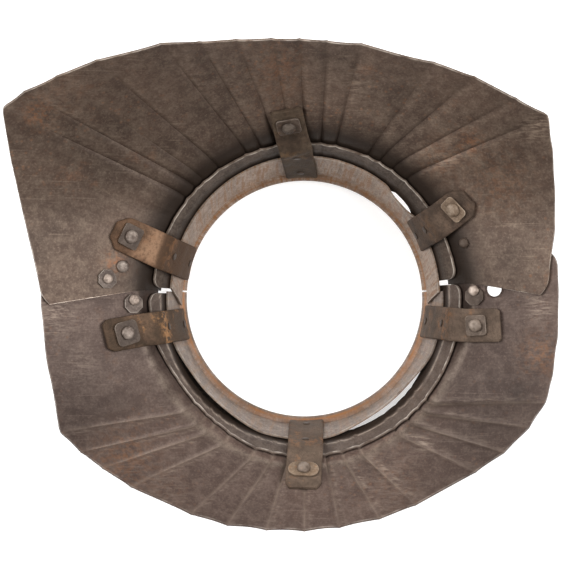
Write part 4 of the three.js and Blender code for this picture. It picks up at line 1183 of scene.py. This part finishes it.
def steelMaterial(name, look, creaseMask):
    look = opaque({**plainSteel, **look})
    material, nodes, shader = newMaterial(name)
    skin = nodes.add("Group", {}, node_tree=patina)
    nodes.setInputs(skin, {label: value for label, value in look.items() if label in skin.inputs})
    # Edges mix towards bright steel: worn metal and a painted highlight
    nodes.setInputs(skin, {
        "Bare And Glint": [mix(pale, bare, look["edge"]) for pale, bare in zip(look["Pale"], bareAndGlintSteel)],
        "Worn And Lit": look["crease"],
        "Edge": nodes.attribute("edge"),
        # Pale band on the bend: wear and a painted highlight
        "Wear And Highlight": nodes.times(nodes.attribute("bend"), look["wear"]),
    })
    place = nodes.objectPlace()
    broken = nodes.stepped(nodes.noiseAt(place, 75, 4, 0.6), 0.34, 0.6, 0.35, 1.0)
    patchy = nodes.stepped(nodes.noiseAt(place, 330, 5, 0.72), 0.44, 0.6)
    streaky = nodes.mapped(place, (160, 900, 160), 0.9)
    paleMarkBreakup = nodes.stepped(nodes.noiseAt(streaky, 1, 5, 0.7), 0.46, 0.62)
    # The crease colour on the flute lines; on the back plate it is painted shade in the flute valleys
    crease = nodes.times(nodes.times(nodes.attribute(creaseMask), look["creaseShare"], True), broken)
    body = nodes.blend(skin.outputs["Color"], look["crease"], crease)
    # Pale marks: worn spots, and the painted highlight beside each flute line
    paleMarkColour = look["crease"] if look["wear"] > paleMarkSwitch else look["Pale"]
    body = nodes.blend(body, paleMarkColour, nodes.times(nodes.attribute("pale"), paleMarkBreakup, True))
    body = nodes.blend(body, look["Rust"], nodes.times(nodes.attribute("rusty"), patchy, True))
    # Painted light and shade, with some tone of the stains, multiplied into the colour
    body = nodes.blend(body, nodes.calculate("ADD", nodes.attribute("tone"), 1.0), 1.0, "MULTIPLY")
    # Painted shade in the recesses, mixed over the colour
    body = nodes.blend(body, nookShadeColour, nodes.times(nodes.attribute("nookShade"), look["nookShade"], True))
    dressShader(nodes, shader, skin, body, look["gloss"], look["bump"])
    nodes.setInputs(shader, {"Metallic": skin.outputs["Metallic"]})
    return material


# Beyond is the share of grease on the part that hangs inside the neck
leatherForm = {"gloss": 0.09, "bump": 0.0006}
leatherLooks = {
    "back_left": {
        "Base": (0.15, 0.083, 0.05), "Dark": (0.054, 0.031, 0.0185), "Rubbed": (0.26, 0.155, 0.095),
        "Rust": (0.26, 0.12, 0.05), "Rubbing": 0.8, "Rust Amount": 0.4, "Beyond": 0.9,
    },
    "front_left": {
        "Base": (0.088, 0.054, 0.036), "Dark": (0.039, 0.026, 0.017), "Rubbed": (0.16, 0.1, 0.062),
        "Rust": (0.36, 0.185, 0.08), "Rubbing": 0.35, "Rust Amount": 0.85, "Beyond": 0.5,
    },
    "back_right": {
        "Base": (0.08, 0.053, 0.038), "Dark": (0.034, 0.023, 0.017), "Rubbed": (0.14, 0.098, 0.07),
        "Rust": (0.17, 0.09, 0.045), "Rubbing": 0.35, "Rust Amount": 0.35, "Beyond": 0.3,
    },
    "back_centre": {
        "Base": (0.053, 0.035, 0.024), "Dark": (0.027, 0.018, 0.0125), "Rubbed": (0.18, 0.13, 0.088),
        "Rust": (0.2, 0.11, 0.05), "Rubbing": 0.5, "Rust Amount": 0.35, "Beyond": 0.4,
    },
    "plain": {
        "Base": (0.094, 0.065, 0.048), "Dark": (0.05, 0.035, 0.026), "Rubbed": (0.16, 0.115, 0.084),
        "Rust": (0.24, 0.11, 0.045), "Rubbing": 0.4, "Rust Amount": 0.5, "Beyond": 0.1,
    },
}


def leatherMaterial(name, look):
    material, nodes, shader = newMaterial(name)
    skin = nodes.add("Group", {}, node_tree=leatherSkin)
    masks = {"Edge": "edge", "Fold": "bend", "Reach": "reach"}
    nodes.setInputs(skin, {**opaque(look), **{key: nodes.attribute(mask) for key, mask in masks.items()}})
    dressShader(nodes, shader, skin, skin.outputs["Color"], leatherForm["gloss"], leatherForm["bump"])
    return material


steels = {name: steelMaterial(name + "_steel", look, "bend" if name.endswith("top_lame") else "crease")
          for name, look in steelLooks.items()}
leathers = {name: leatherMaterial(name + "_leather", look) for name, look in leatherLooks.items()}
print("materials made")


def finishPiece(piece, material, body, slot, *nodes, smoothAngle=40):
    piece.data.materials.clear()
    piece.data.materials.append(material)
    piece.data.shade_smooth()
    piece.data.set_sharp_from_angle(angle=math.radians(smoothAngle))
    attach(piece, body)
    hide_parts(*nodes)


def addFitting(piece, seat, lift, look, body, node):
    finishPiece(placeOn(piece, seat, lift), steels[look], body, "rivet_steel", node)


makers = {"plate": makePlate, "middle_lame": makeMiddleLame, "top_lame": makeTopLame}
holesOf = {side + "_" + part: [] for side in halves for part in makers}
shankHole = rivetForm["shank"] + seatGap

# Fasteners first, because they say where the holes are
seed = 0
for strap in straps:
    seed += 1
    side = strap["half"]
    half = halves[side]
    body = side + "_half"
    name = side + "_" + strap["side"]
    fitting = strapFittings[name]
    stations = strapStations(strap, strapForm["seatCorner"])
    seat = rivetSeatOf(strap, stations)
    lift = strapForm["leather"] + seatGap + strap["washerRise"] * washerForm["thickness"]
    top = lift + washerForm["thickness"] + seatGap
    below, normal = seatOn(half, seat["point"])
    drop = (seat["point"] - below).dot(normal) + rivetForm["strapDrop"]
    bottom = -drop - sheetThickness - rivetForm["outerGap"]
    rivet = domedRivet(name + "_strap_rivet_head", 1, top, bottom, seed, False)
    addFitting(rivet, seat, 0, fitting["rivet"], body, name + "_strap_rivet")
    outline = roundedOutline(*fitting["size"], fitting["corner"], washerForm["cornerSteps"])
    washer = washerPiece(name + "_washer_plate", outline, 0, seed)
    addFitting(washer, seat, lift, fitting["washer"], body, name + "_strap_washer")
    piece = makeStrap(name + "_strap_leather", strap)
    holesOf[side + "_plate"].append((seat, shankHole, 2 * bottom, top))
    strapHoles = [(seat, shankHole, bottom, top)]
    for height, lame, layer in ((strap["lowRivet"] * strapForm["wallHeight"], "top_lame", 0),
                                (strapForm["highRivet"], "middle_lame", 1)):
        small = neckSeatOf(stations, height)
        outerEnd = -wallBehind(half, small, layer) + seatGap
        stud = smallRivet(name + "_" + lame + "_stud", strapForm["leather"], outerEnd, seed)
        addFitting(stud, small, 0, "stud", body, name + "_" + lame + "_rivet")
        hole = (small, smallForm["shank"] + seatGap, 2 * outerEnd, 2 * strapForm["leather"])
        holesOf[side + "_" + lame].append(hole)
        strapHoles.append(hole)
    cutHoles(piece, strapHoles)
    finishPiece(piece, leathers.get(name, leathers["plain"]), body, "strap_leather", name + "_strap",
                smoothAngle=60)
print("straps made")

# Plain rivets: angle, reach, head as a share, washer shift as a share of the octagon
plateRivets = [
    {"name": "back_left_rivet", "half": "back", "angle": 169.9, "reach": 1.13, "head": 0.94, "flush": True,
     "look": "rivet"},
    {"name": "back_right_rivet", "half": "back", "angle": 19.5, "reach": 1.027, "head": 0.7, "look": "stud"},
    {"name": "front_left_rivet", "half": "front", "angle": 180.3, "reach": 1.043, "head": 0.79,
     "washer": "front_left_washer", "shift": -0.36, "look": "pale_rivet"},
    {"name": "front_right_rivet", "half": "front", "angle": 2.9, "reach": 1.03, "head": 0.79,
     "washer": "front_right_washer", "shift": -0.55, "look": "pale_rivet", "washerLook": "washer"},
    {"name": "pivot_rivet", "half": "back", "angle": 174.2, "reach": 1.211, "head": 0.73,
     "washer": "pivot_washer", "shift": 0, "pivot": True, "look": "pale_rivet"},
]
octagonOutline = [polar(45 * (k + 0.5), washerForm["octagon"]).xy for k in range(8)]
for row in plateRivets:
    seed += 1
    body = row["half"] + "_half"
    pivot = row.get("pivot", False)
    flush = row.get("flush", False)
    point, normal = seatOn(halves[row["half"]], polar(row["angle"], row["reach"] * bendRadius))
    across = Vector((1, 0, 0))
    seat = {"point": point, "normal": normal, "across": (across - normal * across.dot(normal)).normalized()}
    top = 2 * seatGap + washerForm["thickness"] if "washer" in row else seatGap
    bottom = -sheetThickness - (0 if flush else rivetForm["outerGap"])
    if pivot:
        bottom -= sheetThickness + lapGap
    rivet = domedRivet(row["name"] + "_head", row["head"], top, bottom, seed, flush)
    addFitting(rivet, seat, 0, row["look"], "front_half" if pivot else body, row["name"])
    if "washer" in row:
        shift = -row["shift"] * washerForm["octagon"]
        sideward = normal.cross(seat["across"]).normalized()
        washer = washerPiece(row["washer"] + "_plate", octagonOutline, shift, seed)
        washerSeat = dict(seat, point=point - sideward * shift)
        addFitting(washer, washerSeat, seatGap, row.get("washerLook", "octagon"), body, row["washer"])
    hole = (seat, shankHole, 2 * bottom, 2 * sheetThickness)
    for plate in {row["half"], "front" if pivot else row["half"]}:
        holesOf[plate + "_plate"].append(hole)
closingHole = {"angle": 3.1, "reach": 1.144, "radius": 0.0041, "depth": 0.0024}
point, normal = seatOn(halves["front"], polar(closingHole["angle"], closingHole["reach"] * bendRadius))
holesOf["front_plate"].append(({"point": point, "normal": normal}, closingHole["radius"],
                               -closingHole["depth"], closingHole["depth"]))
print("rivets made")

for side in halves:
    for part, maker in makers.items():
        node = side + "_" + part
        piece = maker(node + "_sheet", side)
        cutHoles(piece, holesOf[node])
        slot = "plate_steel" if part == "plate" else "lame_steel"
        finishPiece(piece, steels[node], side + "_half", slot, node)
print("plates and lames made")

# Floor, light and the camera straight above the neck, as in the photograph
stageForm = {"floorSize": 6.0, "floorLevel": -0.0002, "floorColour": (0.95, 0.95, 0.95, 1), "floorGlow": 0.2,
             "floorRoughness": 0.9, "world": (1.0, 0.99, 0.98, 1), "worldStrength": 0.55}
bpy.ops.mesh.primitive_plane_add(size=stageForm["floorSize"], location=(0, 0, stageForm["floorLevel"]))
floor = bpy.context.active_object
floor.name = "floor"
floorMaterial, floorNodes, floorShader = newMaterial("floor_paper")
floorNodes.setInputs(floorShader, {
    "Base Color": stageForm["floorColour"], "Roughness": stageForm["floorRoughness"],
    "Emission Color": stageForm["floorColour"], "Emission Strength": stageForm["floorGlow"],
})
floor.data.materials.append(floorMaterial)


def addToScene(name, data, place, turn):
    item = bpy.data.objects.new(name, data)
    item.location = place
    item.rotation_mode = "QUATERNION"
    item.rotation_quaternion = turn
    bpy.context.scene.collection.objects.link(item)
    return item


for row in tableOf("name place size power", [
    ("left_softbox", (-1.2, 0.25, 1.15), 0.8, 24),
    ("right_softbox", (1.2, 0.05, 1.15), 0.8, 26),
    ("back_softbox", (-0.2, 1.4, 1.0), 0.9, 16),
]):
    lamp = bpy.data.lights.new(row["name"], "AREA")
    lamp.size = row["size"]
    lamp.energy = row["power"]
    addToScene(row["name"], lamp, row["place"], (-Vector(row["place"])).to_track_quat("-Z", "Y"))

world = bpy.data.worlds.new("studio")
world.use_nodes = True
world.node_tree.nodes["Background"].inputs["Color"].default_value = stageForm["world"]
world.node_tree.nodes["Background"].inputs["Strength"].default_value = stageForm["worldStrength"]
bpy.context.scene.world = world
bpy.context.scene.view_settings.view_transform = "Standard"

cameraForm = {"place": (-0.0003, 0.0011, 1.6), "lens": 182.7}
cameraData = bpy.data.cameras.new("camera")
cameraData.lens = cameraForm["lens"]
cameraData.dof.use_dof = False
camera = addToScene("camera", cameraData, cameraForm["place"], Quaternion((1, 0, 0, 0)))
bpy.context.scene.camera = camera
print("stage made")
